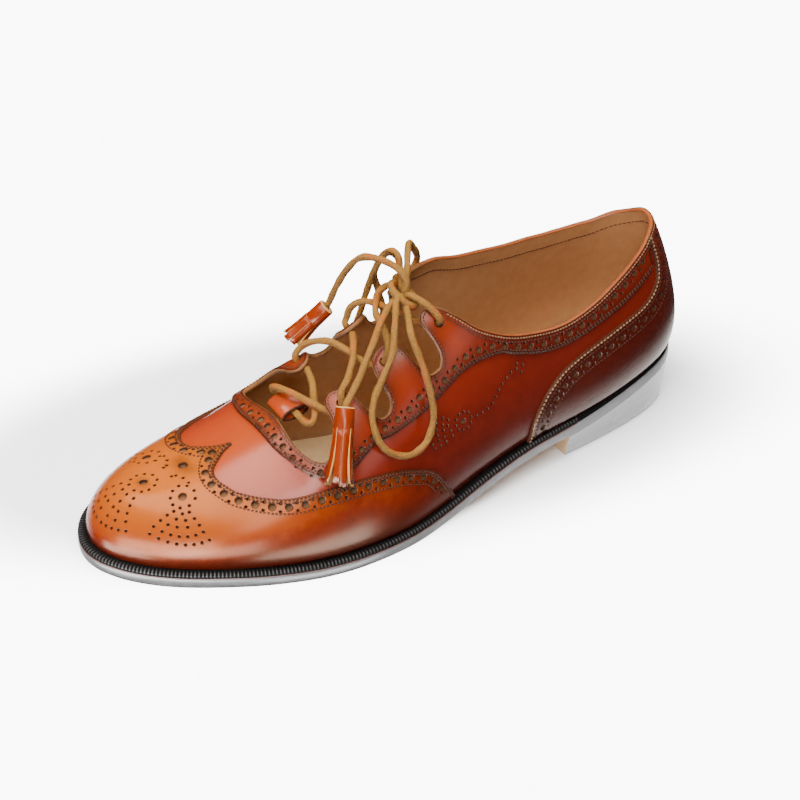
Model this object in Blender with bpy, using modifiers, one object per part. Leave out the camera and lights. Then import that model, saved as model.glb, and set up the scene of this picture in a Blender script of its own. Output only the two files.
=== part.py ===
"""A left ghillie shoe: +X to the toe, +Y to the outer side, +Z up, metres.

All sizes below are millimetres with the heel back at x = 0 and the floor at z = 0.
"""
import math

import bmesh
import bpy
import numpy as np
from mathutils import Vector
from mathutils.geometry import delaunay_2d_cdt

for old in list(bpy.data.objects):
    bpy.data.objects.remove(old, do_unlink=True)

# Main sizes
LENGTH = 305.0
CENTRE = (151.48, 0.29)
GAP = 0.3
SOLE_THICK = 5.5
WELT_THICK = 2.4
WELT_CLEAR = 2.7
WELT_START = 72.0
INSOLE_THICK = 3.0
HEEL_LENGTH = 76.6
TOP_PIECE = 6.0
HEEL_TAPER = 2.6
UPPER_LIFT = -0.6
UPPER_THICK = 2.0
OVERLAY_LIFT = -0.15
OVERLAY_THICK = 0.9
LACE_RADIUS = 1.6
GIRTH = 95.0

# Outline of the outsole from the heel back round the outer side: x, y
OUTLINE = [
    (0, 0), (5, 14), (20, 25.5), (62, 34), (100, 37.8), (140, 44.8), (175, 51.5), (205, 51.7),
    (235, 46.7), (262, 37), (285, 22.7), (299, 8), (305, -8), (300.5, -25), (286, -39.5), (262, -48.5),
    (235, -51.5), (210, -50.5), (180, -42), (145, -31), (110, -27), (75, -29), (24, -27), (5.5, -14.5)]
# Underside of the outsole: x, z
UNDERSIDE = [
    (0, 23.8), (20, 21.2), (75, 12.6), (100, 10.4), (125, 6.5), (150, 1.9), (172, 0), (198, 0),
    (215, 0.8), (235, 3.0), (260, 5.8), (285, 7.2), (305, 8.6)]
# How far the upper's foot sits inside the outline: x, inset
FEATHER = [(0, 2.0), (50, 2.4), (80, 3.6), (120, 4.2), (180, 5.0), (240, 5.6), (305, 6.2)]
# Crest of the last over the instep and toe: x, y, z
CREST = [
    (0, 0, 118), (60, 0, 119), (100, 0.5, 117), (130, 1, 108.5), (160, 1.5, 91.5), (190, 2.2, 72.8),
    (215, 2, 58), (240, -2, 48.2), (262, -6.4, 42.4), (280, -10, 38.2)]
HEEL_FAN = (60.0, 34.0)
TOE_FAN = (215.0, 274.0)
# Section of the last: x, side fullness, crown fullness, bulge, height of the bulge
SECTION = [
    (0, 1.0, 1.0, 4.0, 20), (60, 1.0, 1.0, 3.0, 18), (110, 1.05, 1.05, 2.5, 15),
    (160, 1.06, 1.0, 2.0, 13), (200, 0.74, 0.84, 2.0, 12), (240, 0.74, 0.8, 2.2, 12),
    (280, 0.8, 0.98, 2.4, 11), (305, 0.95, 1.1, 2.4, 10)]
# Inner side against the outer: x, share of the side fullness, rise of the patterns
INNER = [
    (0, 1.0, 0), (4, 0.95, -0.03), (12, 0.82, -0.055), (22, 0.68, -0.055), (34, 0.56, -0.025),
    (50, 0.42, 0.033), (64, 0.36, 0.094), (80, 0.32, 0.137), (107, 0.34, 0.148), (120, 0.42, 0.145),
    (130, 0.54, 0.095), (150, 0.9, 0), (165, 1.0, 0)]

# Pattern edges: x of the station, share of the way up to the crest
TOP_EDGE = [
    (213.5, 1.0), (214.5, 0.91), (215, 0.83), (214, 0.72), (211.5, 0.62), (207, 0.555), (201, 0.575),
    (197.5, 0.66), (196.5, 0.76), (196, 0.845), (193, 0.885), (188.5, 0.85), (185, 0.755), (181.5, 0.62),
    (177, 0.53), (172, 0.515), (169.5, 0.56), (170.5, 0.64), (171.5, 0.73), (170.5, 0.79), (167, 0.81),
    (162, 0.785), (157.5, 0.71), (153.5, 0.6), (149, 0.518), (143.5, 0.5), (141, 0.53), (142, 0.6),
    (144.5, 0.69), (145.5, 0.745), (143.5, 0.778), (139, 0.76), (135, 0.71), (129, 0.625), (120, 0.52),
    (107, 0.435), (93, 0.385), (77, 0.36), (61, 0.375), (42, 0.425), (22, 0.487), (10, 0.525), (0, 0.535)]
BAND_EDGE = [
    (220.5, 1.0), (221, 0.855), (219, 0.705), (215, 0.56), (207.5, 0.455), (198, 0.418), (190, 0.436),
    (182, 0.45), (172, 0.425), (154, 0.41), (131, 0.425), (112, 0.392), (104, 0.355), (89, 0.305),
    (73, 0.29), (57, 0.305), (38, 0.335), (18.5, 0.385)]
WING_EDGE = [
    (230, 1.0), (236, 0.985), (242, 0.945), (245.5, 0.905), (247, 0.835), (245.5, 0.745), (242.5, 0.66),
    (233, 0.535), (222, 0.45), (199, 0.36), (173, 0.27), (163, 0.225), (157, 0.195), (151.5, 0.14),
    (142.5, 0.015)]
COUNTER_EDGE = [
    (99.5, 0.015), (98.5, 0.06), (96.5, 0.1), (90.5, 0.155), (82, 0.2), (74, 0.222), (63, 0.24),
    (46, 0.26), (29, 0.28), (19.5, 0.32), (16, 0.375), (15.5, 0.44), (15.5, 0.505)]

# Lace routes: x, y, z of the centre line
CROSSINGS = [
    (143.2, 15.0, 101.8), (139.0, 21.0, 97.4), (144.0, 22.4, 94.8), (150.4, 12.0, 96.6),
    (155.3, 1.4, 95.2), (161.8, -6.0, 92.2), (167.2, -13.4, 85.5), (171.6, -13.8, 83.4),
    (174.8, -8.0, 86.4), (180.1, 2.0, 86.3), (186.1, 13.8, 80.1), (189.8, 22.5, 74.1),
    (195.0, 24.6, 70.5), (200.2, 16.2, 70.4), (204.4, 3.0, 68.6), (206.6, -5.4, 66.9),
    (206.4, -11.6, 63.4), (204.8, -10.8, 59.9), (204.6, 2.0, 59.9), (204.4, 15.4, 59.9),
    (201.6, 17.4, 62.6), (198.2, 10.6, 66.8), (194.0, -2.4, 72.6), (191.0, -12.9, 75.4),
    (186.6, -17.0, 75.4), (183.0, -12.0, 79.4), (175.7, 1.9, 82.0), (172.6, 12.7, 85.0),
    (169.1, 21.5, 83.7), (164.8, 21.6, 85.4), (162.3, 13.4, 92.9), (158.1, 1.4, 101.4),
    (150.7, -6.8, 101.6), (143.5, -14.0, 98.0), (137.6, -17.0, 97.8), (136.2, -14.6, 106.4),
    (138.4, -7.0, 113.2), (141.8, -1.6, 109.6)]
BOW_OUTER = [
    (154.2, 10.4, 104.2), (159.8, 18.0, 101.0), (165.5, 25.0, 89.6), (172.2, 28.0, 80.4),
    (179.5, 32.0, 73.8), (183.2, 36.6, 65.4), (181.8, 42.8, 54.8), (172.0, 45.8, 48.0),
    (160.9, 44.2, 49.4), (154.2, 40.4, 60.6), (154.4, 34.2, 78.0), (155.4, 24.6, 93.2),
    (151.6, 15.0, 99.8)]
BOW_INNER = [
    (146.2, 0.2, 109.4), (144.6, -5.0, 116.4), (146.0, -12.6, 113.0), (148.0, -19.4, 100.0),
    (149.4, -22.8, 86.0), (151.4, -26.0, 72.0), (154.6, -28.8, 61.6), (160.0, -30.4, 59.4),
    (163.6, -30.2, 66.0), (162.0, -26.4, 77.0), (159.6, -20.4, 89.6), (157.6, -11.4, 100.8),
    (153.8, -1.6, 107.8)]
END_OUTER = [
    (155.4, 6.6, 101.6), (164.6, 14.6, 99.8), (174.4, 21.4, 92.4), (183.6, 26.6, 83.6),
    (192.6, 30.6, 75.4)]
END_INNER = [
    (147.4, 6.0, 110.0), (148.0, 1.0, 116.6), (153.0, -8.4, 119.2), (159.0, -14.4, 116.4),
    (162.8, -19.4, 107.0), (166.2, -22.8, 97.0), (168.8, -25.0, 87.2)]
KNOT = (148.2, 6.2, 102.6)
KNOT_SIZE = (5.4, 5.0, 5.6)
# Tassels: top x, y, z, tip x, y, z, direction across x, y, z
TASSELS = [
    ("tassel_outer", (193.6, 31.2, 74.4), (207.6, 47.4, 48.2), (0.86, -0.5, 0.15)),
    ("tassel_inner", (169.4, -25.4, 85.4), (185.2, -30.0, 70.8), (0.2, 0.95, 0.2))]
TASSEL_HEAD = 10.0
# Strap at the throat: centre x, y, z, half sizes along and up, wall, width, tilt
STRAP = dict(centre=(204.9, 2.6, 59.9), along=7.2, up=4.3, wall=1.4, width=18.0, tilt=0.12)

# Colours as red, green, blue and roughness
LEATHER = dict(
    outsole=(0.06, 0.045, 0.04, 0.5), heel_stack=(0.07, 0.05, 0.045, 0.5),
    heel_top_piece=(0.03, 0.03, 0.03, 0.7), welt=(0.02, 0.015, 0.013, 0.5),
    insole=(0.5, 0.33, 0.17, 0.7), upper=(0.42, 0.1, 0.03, 0.3),
    wing_cap=(0.5, 0.14, 0.03, 0.3), facing=(0.42, 0.1, 0.03, 0.3), heel_counter=(0.3, 0.06, 0.02, 0.3),
    front_lace_loop=(0.5, 0.14, 0.03, 0.35), lace=(0.55, 0.34, 0.13, 0.85), tassel=(0.5, 0.15, 0.04, 0.4))

main = bpy.data.collections.new("ghillie_shoe")
bpy.context.scene.collection.children.link(main)


def spline(points, count):
    """Closed cubic curve through the points, even in the root of the chord."""
    p = np.array(points + points[:1], float)
    n = len(points)
    h = np.linalg.norm(np.diff(p, axis=0), axis=1) ** 0.5
    t = np.concatenate([[0], np.cumsum(h)])
    a = np.zeros((n, n))
    r = np.zeros((n, 2))
    for i in range(n):
        a[i, i - 1] += h[i - 1]
        a[i, i] += 2 * (h[i - 1] + h[i])
        a[i, (i + 1) % n] += h[i]
        before = p[i - 1] if i else p[n - 1]
        r[i] = 6 * ((p[i + 1] - p[i]) / h[i] - (p[i] - before) / h[i - 1])
    m = np.linalg.solve(a, r)
    m = np.vstack([m, m[:1]])
    q = np.linspace(0, t[-1], count, endpoint=False)
    k = np.clip(np.searchsorted(t, q, side="right") - 1, 0, n - 1)
    hk = h[k][:, None]
    f = (t[k + 1] - q)[:, None] / hk
    g = 1 - f
    return f * p[k] + g * p[k + 1] + ((f**3 - f) * m[k] + (g**3 - g) * m[k + 1]) * hk**2 / 6


def table(rows, x, column=1):
    """Smooth value of a table's column at x, level where the table is level."""
    rows = np.array(rows, float)
    xs, ys = rows[:, 0], rows[:, column]
    dx = np.diff(xs)
    d = np.diff(ys) / dx
    inner = np.where(d[1:] * d[:-1] <= 0, 0, (d[1:] * dx[:-1] + d[:-1] * dx[1:]) / (xs[2:] - xs[:-2]))
    m = np.concatenate([d[:1], inner, d[-1:]])
    x = np.clip(x, xs[0], xs[-1])
    k = np.clip(np.searchsorted(xs, x, side="right") - 1, 0, len(xs) - 2)
    h = dx[k]
    u = (x - xs[k]) / h
    start = (2 * u**3 - 3 * u**2 + 1) * ys[k] + (u**3 - 2 * u**2 + u) * h * m[k]
    return start + (3 * u**2 - 2 * u**3) * ys[k + 1] + (u**3 - u**2) * h * m[k + 1]


def half_outlines(count=4800):
    """The outline as an outer and an inner half: x, y and the outward direction, heel to toe."""
    o = spline(OUTLINE, count)
    t = np.roll(o, -1, 0) - np.roll(o, 1, 0)
    t /= np.linalg.norm(t, axis=1, keepdims=True)
    rows = np.column_stack([o, -t[:, 1], t[:, 0]])
    toe = int(np.argmax(o[:, 0]))
    heel = int(np.argmin(o[:, 0]))
    heel -= count if heel > count // 2 else 0
    outer = rows[np.arange(heel, toe + 1) % count]
    inner = rows[np.arange(toe, count + heel + 1) % count][::-1]
    return {1: outer, -1: inner}


HALF = half_outlines()
HEEL_BACK = HALF[1][0, 0]
REACH = HALF[1][-1, 0] - HEEL_BACK


def station_x(u):
    return HEEL_BACK + REACH * (1 - np.cos(np.pi * u)) / 2


def station_u(x):
    return np.arccos(np.clip(1 - 2 * np.asarray(x, float) / LENGTH, -1, 1)) / np.pi


def outline(u, s, inset=0.0):
    """Point of the outline moved inwards, with its outward direction; u 0 heel to 1 toe."""
    x = station_x(u)
    both = []
    for key in (1, -1):
        half = HALF[key]
        both.append([np.interp(x, half[:, 0], half[:, c]) for c in range(4)])
    o = np.where(s > 0, both[0], both[1])
    n = o[2:] / np.hypot(o[2], o[3])
    return np.array([o[0] - n[0] * inset, o[1] - n[1] * inset]), n


def crest_x(x):
    u = np.clip((HEEL_FAN[0] - x) / HEEL_FAN[0], 0, 1)
    v = np.clip((x - TOE_FAN[0]) / (LENGTH - TOE_FAN[0]), 0, 1)
    back = HEEL_FAN[0] - (HEEL_FAN[0] - HEEL_FAN[1]) * u * (2 - u)
    front = TOE_FAN[0] + (TOE_FAN[1] - TOE_FAN[0]) * v * (2 - v)
    return np.where(x < HEEL_FAN[0], back, np.where(x > TOE_FAN[0], front, x))


def last(u, w, s):
    """Surface of the last: u heel to toe, w foot to crest; past an end it runs down the other side."""
    s = np.where((u < 0) | (u > 1), -s, s)
    u = np.abs(u)
    u = np.where(u > 1, 2 - u, u)
    s = np.where(w > 1, -s, s)
    w = np.where(w > 1, 2 - w, w)
    x = station_x(u)
    foot, n = outline(u, s, table(FEATHER, x))
    z = table(UNDERSIDE, x) + SOLE_THICK + GAP
    cx = crest_x(x)
    top = np.array([cx, table(CREST, cx, 1)])
    side, crown, bulge, height = (table(SECTION, x, c) for c in (1, 2, 3, 4))
    inner = s < 0
    side = np.where(inner, side * table(INNER, x, 1), side)
    angle = np.where(inner, w + table(INNER, x, 2) * np.sin(np.pi * w), w) * np.pi / 2
    a = 1 - np.maximum(np.cos(angle), 0) ** side
    rise = np.maximum(np.sin(angle), 0) ** crown * (table(CREST, cx, 2) - z)
    k = rise / height
    bump = bulge * k * np.exp(1 - k) * (1 - a)
    xy = foot + (top - foot) * a + n * bump
    return np.array([xy[0], xy[1], z + rise]).T


def normals(u, w, s):
    """Outward directions of the last, not yet of unit length."""
    e = 0.006
    low = np.maximum(w - e, 0)
    along = last(u + e, w, s) - last(u - e, w, s)
    up = last(u, low + 2 * e, s) - last(u, low, s)
    return np.cross(up, along) * s


def lifted(x, w, s, lift):
    """Points of the last moved out along its normal; the crest's front end takes the mean of both sides."""
    u = station_u(x)
    w = np.asarray(w, float)
    n = normals(u, w, s)
    tip = (u > 0.99) & (w > 0.99)
    n[tip] = normals(u[tip] - 0.02, w[tip] - 0.02, s) + normals(u[tip] - 0.02, w[tip] - 0.02, -s)
    return last(u, w, s) + n / np.linalg.norm(n, axis=1, keepdims=True) * lift


def to_pattern(edge):
    """Station and share to flat millimetres, for even triangles."""
    edge = np.asarray(edge, float)
    half = HALF[1]
    run = np.concatenate([[0], np.cumsum(np.hypot(*np.diff(half[:, :2], axis=0).T))])
    return np.column_stack([np.interp(edge[:, 0], half[:, 0], run), edge[:, 1] * GIRTH])


def from_pattern(flat):
    half = HALF[1]
    run = np.concatenate([[0], np.cumsum(np.hypot(*np.diff(half[:, :2], axis=0).T))])
    return np.interp(flat[:, 0], run, half[:, 0]), flat[:, 1] / GIRTH


def curve_through(points, step):
    """Smooth open curve through the points, with a point about each step."""
    p = np.array(points, float)
    p = np.vstack([2 * p[0] - p[1], p, 2 * p[-1] - p[-2]])
    out = []
    for i in range(1, len(p) - 2):
        count = max(1, round(np.linalg.norm(p[i + 1] - p[i]) / step))
        for t in np.arange(count)[:, None] / count:
            m0 = (p[i + 1] - p[i - 1]) / 2
            m1 = (p[i + 2] - p[i]) / 2
            start = (2 * t**3 - 3 * t**2 + 1) * p[i] + (t**3 - 2 * t**2 + t) * m0
            out.append(start + (3 * t**2 - 2 * t**3) * p[i + 1] + (t**3 - t**2) * m1)
    out.append(p[-2])
    return np.array(out).reshape(-1, p.shape[1])


def inside(points, border):
    """Which points lie within a closed border."""
    x, y = points[:, 0:1], points[:, 1:2]
    a, b = border, np.roll(border, -1, 0)
    cross = (a[:, 1] > y) != (b[:, 1] > y)
    slope = np.where(b[:, 1] == a[:, 1], 1, b[:, 1] - a[:, 1])
    hit = x < (b[:, 0] - a[:, 0]) * (y - a[:, 1]) / slope + a[:, 0]
    return (cross & hit).sum(1) % 2 == 1


def triangles(border, step):
    """Fill a flat border with even triangles."""
    low, high = border.min(0), border.max(0)
    gx = np.arange(math.floor(low[0] / step), high[0] / step + 1) * step
    gy = np.arange(math.floor(low[1] / step), high[1] / step + 1) * step
    grid = np.array([(x, y) for y in gy for x in gx])
    grid = grid[inside(grid, border)]
    far = np.array([np.hypot(*(border - g).T).min() for g in grid]) > 0.55 * step if len(grid) else []
    points = np.vstack([border, grid[far]]) if len(grid) else border
    # The two halves meet on both sides of the toe's corner, so a point beside it keeps their triangles apart
    beside = to_pattern([(LENGTH, 1)]) - 0.4 * step
    points = np.vstack([points, beside[inside(beside, border)]])
    n = len(border)
    edges = [(i, (i + 1) % n) for i in range(n)]
    verts, _, faces, *_ = delaunay_2d_cdt([Vector(p) for p in points], edges, [], 1, 1e-6)
    verts = np.array([v[:] for v in verts])
    middle = np.array([verts[list(f)].mean(0) for f in faces])
    return verts, [f for f, ok in zip(faces, inside(middle, border)) if ok]


def metres(points):
    return (np.asarray(points, float) - (CENTRE[0], CENTRE[1], 0)) / 1000


def finish(name, mesh, colour):
    obj = bpy.data.objects.new(name, mesh)
    main.objects.link(obj)
    material = bpy.data.materials.new(name)
    material.use_nodes = True
    shader = material.node_tree.nodes["Principled BSDF"]
    shader.inputs["Base Color"].default_value = (*colour[:3], 1)
    shader.inputs["Roughness"].default_value = colour[3]
    mesh.materials.append(material)
    return obj


def solid(name, points, faces, colour):
    """A closed mesh from points and faces, turned outwards."""
    mesh = bpy.data.meshes.new(name)
    mesh.from_pydata(metres(points).tolist(), [], [list(f) for f in faces])
    bm = bmesh.new()
    bm.from_mesh(mesh)
    bmesh.ops.remove_doubles(bm, verts=bm.verts, dist=0.00002)
    bmesh.ops.dissolve_degenerate(bm, edges=bm.edges, dist=0.000001)
    bmesh.ops.recalc_face_normals(bm, faces=bm.faces)
    bm.to_mesh(mesh)
    bm.free()
    return finish(name, mesh, colour)


def leather(name, border, lift, thick, outwards, step, colour):
    """Both halves of a pattern laid on the last, joined where they meet and given their thickness."""
    flat, faces = triangles(to_pattern(border), step)
    x, w = from_pattern(flat)
    outer = lifted(x, w, 1, lift)
    inner = lifted(x, w, -1, lift)
    count = len(outer)
    every = [list(f) for f in faces] + [[count + i for i in reversed(f)] for f in faces]
    mesh = bpy.data.meshes.new(name)
    mesh.from_pydata(metres(np.vstack([outer, inner])).tolist(), [], every)
    bm = bmesh.new()
    bm.from_mesh(mesh)
    bmesh.ops.remove_doubles(bm, verts=bm.verts, dist=0.00005)
    bmesh.ops.recalc_face_normals(bm, faces=bm.faces)
    middle = sum(
        (f.calc_center_median().dot(f.normal) - 0.03 * f.normal.z) * f.calc_area() for f in bm.faces)
    if middle < 0:
        bmesh.ops.reverse_faces(bm, faces=bm.faces)
    bm.to_mesh(mesh)
    bm.free()
    obj = finish(name, mesh, colour)
    wall = obj.modifiers.new("thickness", "SOLIDIFY")
    wall.thickness = thick / 1000
    wall.offset = 1 if outwards else -1
    wall.use_even_offset = True
    return obj


def prism(name, stations, ring, colour):
    """Solid from a four-point ring at each station, closed at both ends."""
    rings = [ring(u) for u in stations]
    points = np.vstack(rings)
    faces = []
    for i in range(len(rings) - 1):
        for j in range(4):
            k = (j + 1) % 4
            faces.append((4 * i + j, 4 * i + k, 4 * i + 4 + k, 4 * i + 4 + j))
    faces.append((0, 1, 2, 3))
    end = 4 * (len(rings) - 1)
    faces.append((end, end + 1, end + 2, end + 3))
    return solid(name, points, faces, colour)


def plate_ring(inset_top, inset_low, top, low):
    """Ring of a plate: outer and inner edge, above and below."""
    def ring(u):
        x = station_x(u)
        a, _ = outline(u, 1, inset_top(x))
        b, _ = outline(u, -1, inset_top(x))
        c, _ = outline(u, -1, inset_low(x))
        d, _ = outline(u, 1, inset_low(x))
        return np.array([(*a, top(x)), (*b, top(x)), (*c, low(x)), (*d, low(x))], float)
    return ring


def tube(name, points, colour):
    """A round cord along a line of points."""
    curve = bpy.data.curves.new(name, "CURVE")
    curve.dimensions = "3D"
    curve.bevel_depth = LACE_RADIUS / 1000
    curve.bevel_resolution = 2
    curve.use_fill_caps = True
    path = curve.splines.new("POLY")
    path.points.add(len(points) - 1)
    for point, place in zip(path.points, metres(points)):
        point.co = (*place, 1)
    return finish(name, curve, colour)


# Sole, heel, welt and insole
ends = np.linspace(0, 1, 45)


def under(x):
    return table(UNDERSIDE, x)


prism("outsole", ends, plate_ring(lambda x: 0, lambda x: 0, lambda x: under(x) + SOLE_THICK, under),
      LEATHER["outsole"])
heel_ends = np.linspace(0, float(station_u(HEEL_LENGTH)), 15)


def taper(z):
    return lambda x: HEEL_TAPER * (1 - z(x) / under(x))


prism("heel_stack", heel_ends, plate_ring(
    taper(lambda x: under(x) - GAP), taper(lambda x: TOP_PIECE + GAP),
    lambda x: under(x) - GAP, lambda x: TOP_PIECE + GAP), LEATHER["heel_stack"])
prism("heel_top_piece", heel_ends, plate_ring(
    taper(lambda x: TOP_PIECE), taper(lambda x: 0), lambda x: TOP_PIECE, lambda x: 0),
    LEATHER["heel_top_piece"])
inside_wall = UPPER_THICK - UPPER_LIFT + 0.5
prism("insole", np.linspace(0, 1, 31), plate_ring(
    lambda x: table(FEATHER, x) + inside_wall, lambda x: table(FEATHER, x) + inside_wall,
    lambda x: under(x) + SOLE_THICK + GAP + INSOLE_THICK, lambda x: under(x) + SOLE_THICK + GAP),
    LEATHER["insole"])


def welt_ring(v):
    """Section of the welt: v runs 0 to 1 round the outer side and on to 2 back along the inner side."""
    start = float(station_u(WELT_START))
    s = 1 if v <= 1 else -1
    u = start + (1 - start) * (v if v <= 1 else 2 - v)
    x = station_x(u)
    z = under(x) + SOLE_THICK + GAP
    edge, _ = outline(u, s, 0.2)
    foot, _ = outline(u, s, table(FEATHER, x) - WELT_CLEAR)
    return np.array([(*foot, z), (*edge, z), (*edge, z + WELT_THICK), (*foot, z + WELT_THICK)], float)


prism("welt", np.linspace(0, 2, 71), welt_ring, LEATHER["welt"])

# Upper and the leather laid over it
STEP = 7.5
FOOT = 0.015


def along_foot(a, b, w):
    return [(station_x(u), w) for u in np.linspace(station_u(a), station_u(b), 2 + round(abs(b - a) / STEP))]


def flat_curve(edge, step):
    flat = curve_through(to_pattern(edge), step)
    x, w = from_pattern(flat)
    return [(float(a), float(min(b, 1.0))) for a, b in zip(x, w)]


def column(x, a, b):
    return [(x, w) for w in np.linspace(a, b, 2 + round(abs(b - a) * GIRTH / STEP))]


def chain(*lines):
    """One closed border from lines that share their ends."""
    border = []
    for part in lines:
        border.extend(part[:-1])
    return border


top_line = flat_curve(TOP_EDGE, 4.5)
split = next(i for i, p in enumerate(top_line) if p[0] < 18.5)
back_split = next(i for i, p in enumerate(top_line) if p[0] < 15.5)
throat = TOP_EDGE[0][0]
leather("upper", chain(
    along_foot(0, LENGTH, 0), column(LENGTH, 0, 1), along_foot(LENGTH, throat, 1), top_line,
    column(0, TOP_EDGE[-1][1], 0)),
    UPPER_LIFT, UPPER_THICK, False, STEP, LEATHER["upper"])
wing = flat_curve(WING_EDGE, 6)
leather("wing_cap", chain(
    along_foot(WING_EDGE[-1][0], LENGTH, FOOT), column(LENGTH, FOOT, 1),
    along_foot(LENGTH, WING_EDGE[0][0], 1), wing),
    OVERLAY_LIFT, OVERLAY_THICK, True, STEP, LEATHER["wing_cap"])
band = flat_curve(BAND_EDGE, 7)
leather("facing", chain(
    along_foot(BAND_EDGE[0][0], throat, 1), top_line[:split] + [(18.5, 0.498)],
    [(18.5, 0.498), band[-1]], band[::-1]),
    OVERLAY_LIFT, OVERLAY_THICK, True, STEP, LEATHER["facing"])
counter = flat_curve(COUNTER_EDGE, 6)
leather("heel_counter", chain(
    along_foot(0, COUNTER_EDGE[0][0], FOOT), counter, [counter[-1]] + top_line[back_split + 1:],
    column(0, TOP_EDGE[-1][1], FOOT)),
    OVERLAY_LIFT, OVERLAY_THICK, True, STEP, LEATHER["heel_counter"])


def strap():
    """The rolled strap: an oval ring drawn out across the throat."""
    cx, cy, cz = STRAP["centre"]
    count = 20
    angles = np.linspace(0, 2 * np.pi, count, endpoint=False)
    tilt = STRAP["tilt"]
    points = []
    for y in (cy - STRAP["width"] / 2, cy + STRAP["width"] / 2):
        for wall in (0, STRAP["wall"]):
            a = np.cos(angles) * (STRAP["along"] - wall)
            b = np.sin(angles) * (STRAP["up"] - wall)
            x = cx + a * math.cos(tilt) + b * math.sin(tilt)
            z = cz - a * math.sin(tilt) + b * math.cos(tilt)
            points.append(np.column_stack([x, np.full(count, y), z]))
    faces = []
    for i in range(count):
        k = (i + 1) % count
        for a, b in ((0, 1), (1, 3), (3, 2), (2, 0)):
            faces.append((a * count + i, a * count + k, b * count + k, b * count + i))
    return solid("front_lace_loop", np.vstack(points), faces, LEATHER["front_lace_loop"])


strap()

# Laces, knot and tassels
for name, route in (
        ("lace_crossings", CROSSINGS), ("bow_loop_outer", BOW_OUTER), ("bow_loop_inner", BOW_INNER),
        ("lace_end_outer", END_OUTER), ("lace_end_inner", END_INNER)):
    tube(name, route, LEATHER["lace"])


def knot():
    mesh = bpy.data.meshes.new("lace_knot")
    bm = bmesh.new()
    bmesh.ops.create_icosphere(bm, subdivisions=2, radius=1)
    for v in bm.verts:
        v.co = metres(np.array(v.co) * KNOT_SIZE + KNOT)
    bm.to_mesh(mesh)
    bm.free()
    return finish("lace_knot", mesh, LEATHER["lace"])


knot()


def tassel(name, top, tip, across):
    """Rolled head with cut strips below, all one solid; the strips are the ribs of the skirt."""
    axis = np.subtract(tip, top)
    length = np.linalg.norm(axis)
    axis = axis / length
    side = np.array(across) - axis * np.dot(across, axis)
    side /= np.linalg.norm(side)
    deep = np.cross(axis, side)
    # Share of the way down, half width, half depth, depth of the cuts between strips
    head = TASSEL_HEAD / length
    levels = [
        (0, 4.6, 4.2, 0), (head, 4.8, 4.2, 0), (head + 0.04, 4.9, 4.3, 0.9), (0.65, 5.6, 4.2, 1.1),
        (1, 6.4, 4.3, 1.3)]
    strips = 7
    rings = []
    for share, wide, thick, cut in levels:
        for i in range(strips * 4):
            angle = 2 * np.pi * (i + 0.5) / (strips * 4)
            k = 1 - (cut / wide if i % 4 == 3 else 0)
            rings.append(np.array(top) + axis * share * length
                         + (side * math.cos(angle) * wide + deep * math.sin(angle) * thick) * k)
    n = strips * 4
    faces = [tuple(range(n)), tuple(range(n * (len(levels) - 1), n * len(levels)))]
    for j in range(len(levels) - 1):
        for i in range(n):
            k = (i + 1) % n
            faces.append((j * n + i, j * n + k, j * n + n + k, j * n + n + i))
    return solid(name, np.array(rings), faces, LEATHER["tassel"])


for row in TASSELS:
    tassel(*row)
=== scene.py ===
# %% [markdown]
# # A left ghillie shoe
# This lesson dresses a packed shoe: a solid frame of plain parts becomes polished leather with punched
# holes, stitches, a ribbed welt and a leather lace. Every piece is laid on one surface, the shape of the
# last that the shoe was made on, so all parts of the upper fit each other without any trial.

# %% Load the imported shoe
import math

import bpy
import numpy as np
from mathutils import Matrix, Vector
from mathutils.geometry import delaunay_2d_cdt
from mathutils.kdtree import KDTree


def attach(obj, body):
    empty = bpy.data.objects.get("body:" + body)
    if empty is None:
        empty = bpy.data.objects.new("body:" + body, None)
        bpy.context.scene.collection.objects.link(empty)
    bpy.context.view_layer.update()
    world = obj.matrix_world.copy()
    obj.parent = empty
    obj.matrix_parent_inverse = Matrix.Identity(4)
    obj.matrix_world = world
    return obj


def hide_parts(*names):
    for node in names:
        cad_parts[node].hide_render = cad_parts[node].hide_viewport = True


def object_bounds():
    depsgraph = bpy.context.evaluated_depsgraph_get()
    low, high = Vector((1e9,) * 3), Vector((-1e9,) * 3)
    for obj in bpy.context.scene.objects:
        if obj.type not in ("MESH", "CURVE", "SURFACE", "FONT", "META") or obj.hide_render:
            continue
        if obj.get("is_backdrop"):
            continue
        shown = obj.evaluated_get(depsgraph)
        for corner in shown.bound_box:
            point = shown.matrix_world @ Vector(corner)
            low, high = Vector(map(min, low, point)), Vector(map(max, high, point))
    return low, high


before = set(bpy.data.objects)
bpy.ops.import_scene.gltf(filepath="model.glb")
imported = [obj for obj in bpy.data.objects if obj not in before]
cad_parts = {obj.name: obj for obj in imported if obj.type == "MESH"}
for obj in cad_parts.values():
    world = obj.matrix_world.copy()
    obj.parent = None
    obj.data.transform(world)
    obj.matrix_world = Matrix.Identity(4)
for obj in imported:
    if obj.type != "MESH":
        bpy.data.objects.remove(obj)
cad_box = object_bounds()
CENTRE = (151.48, 0.29)          # where the frame's origin lies, in millimetres from the heel back


def metres(points):
    return (np.asarray(points, float) - (*CENTRE, 0)) / 1000


print("nodes", sorted(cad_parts))

# %% [markdown]
# ## Camera, floor and light
# The photograph is a studio picture from above the toe, taken with a long lens. The camera is set by its
# azimuth, height and roll around a point in the shoe, then turned a little so that this point lands where
# the picture has it. Polished calf mirrors the room more than it takes light from it, so most lamps do one
# job only: a few fill the colours, and the others are seen just in the shine. The lowest of these stand
# for the bright table round the shoe, which the polish mirrors along its lower sides.

# %% Camera
AZIMUTH, ELEVATION, ROLL = (math.radians(v) for v in (148.87, 37.04, -0.75))
DISTANCE, FOCAL_PX, FRAME_PX, SENSOR_MM = 1254.0, 2742.0, 800, 36
TARGET, PAN_PX = (150, 0, 35), (-5.5, 10.56)


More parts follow.
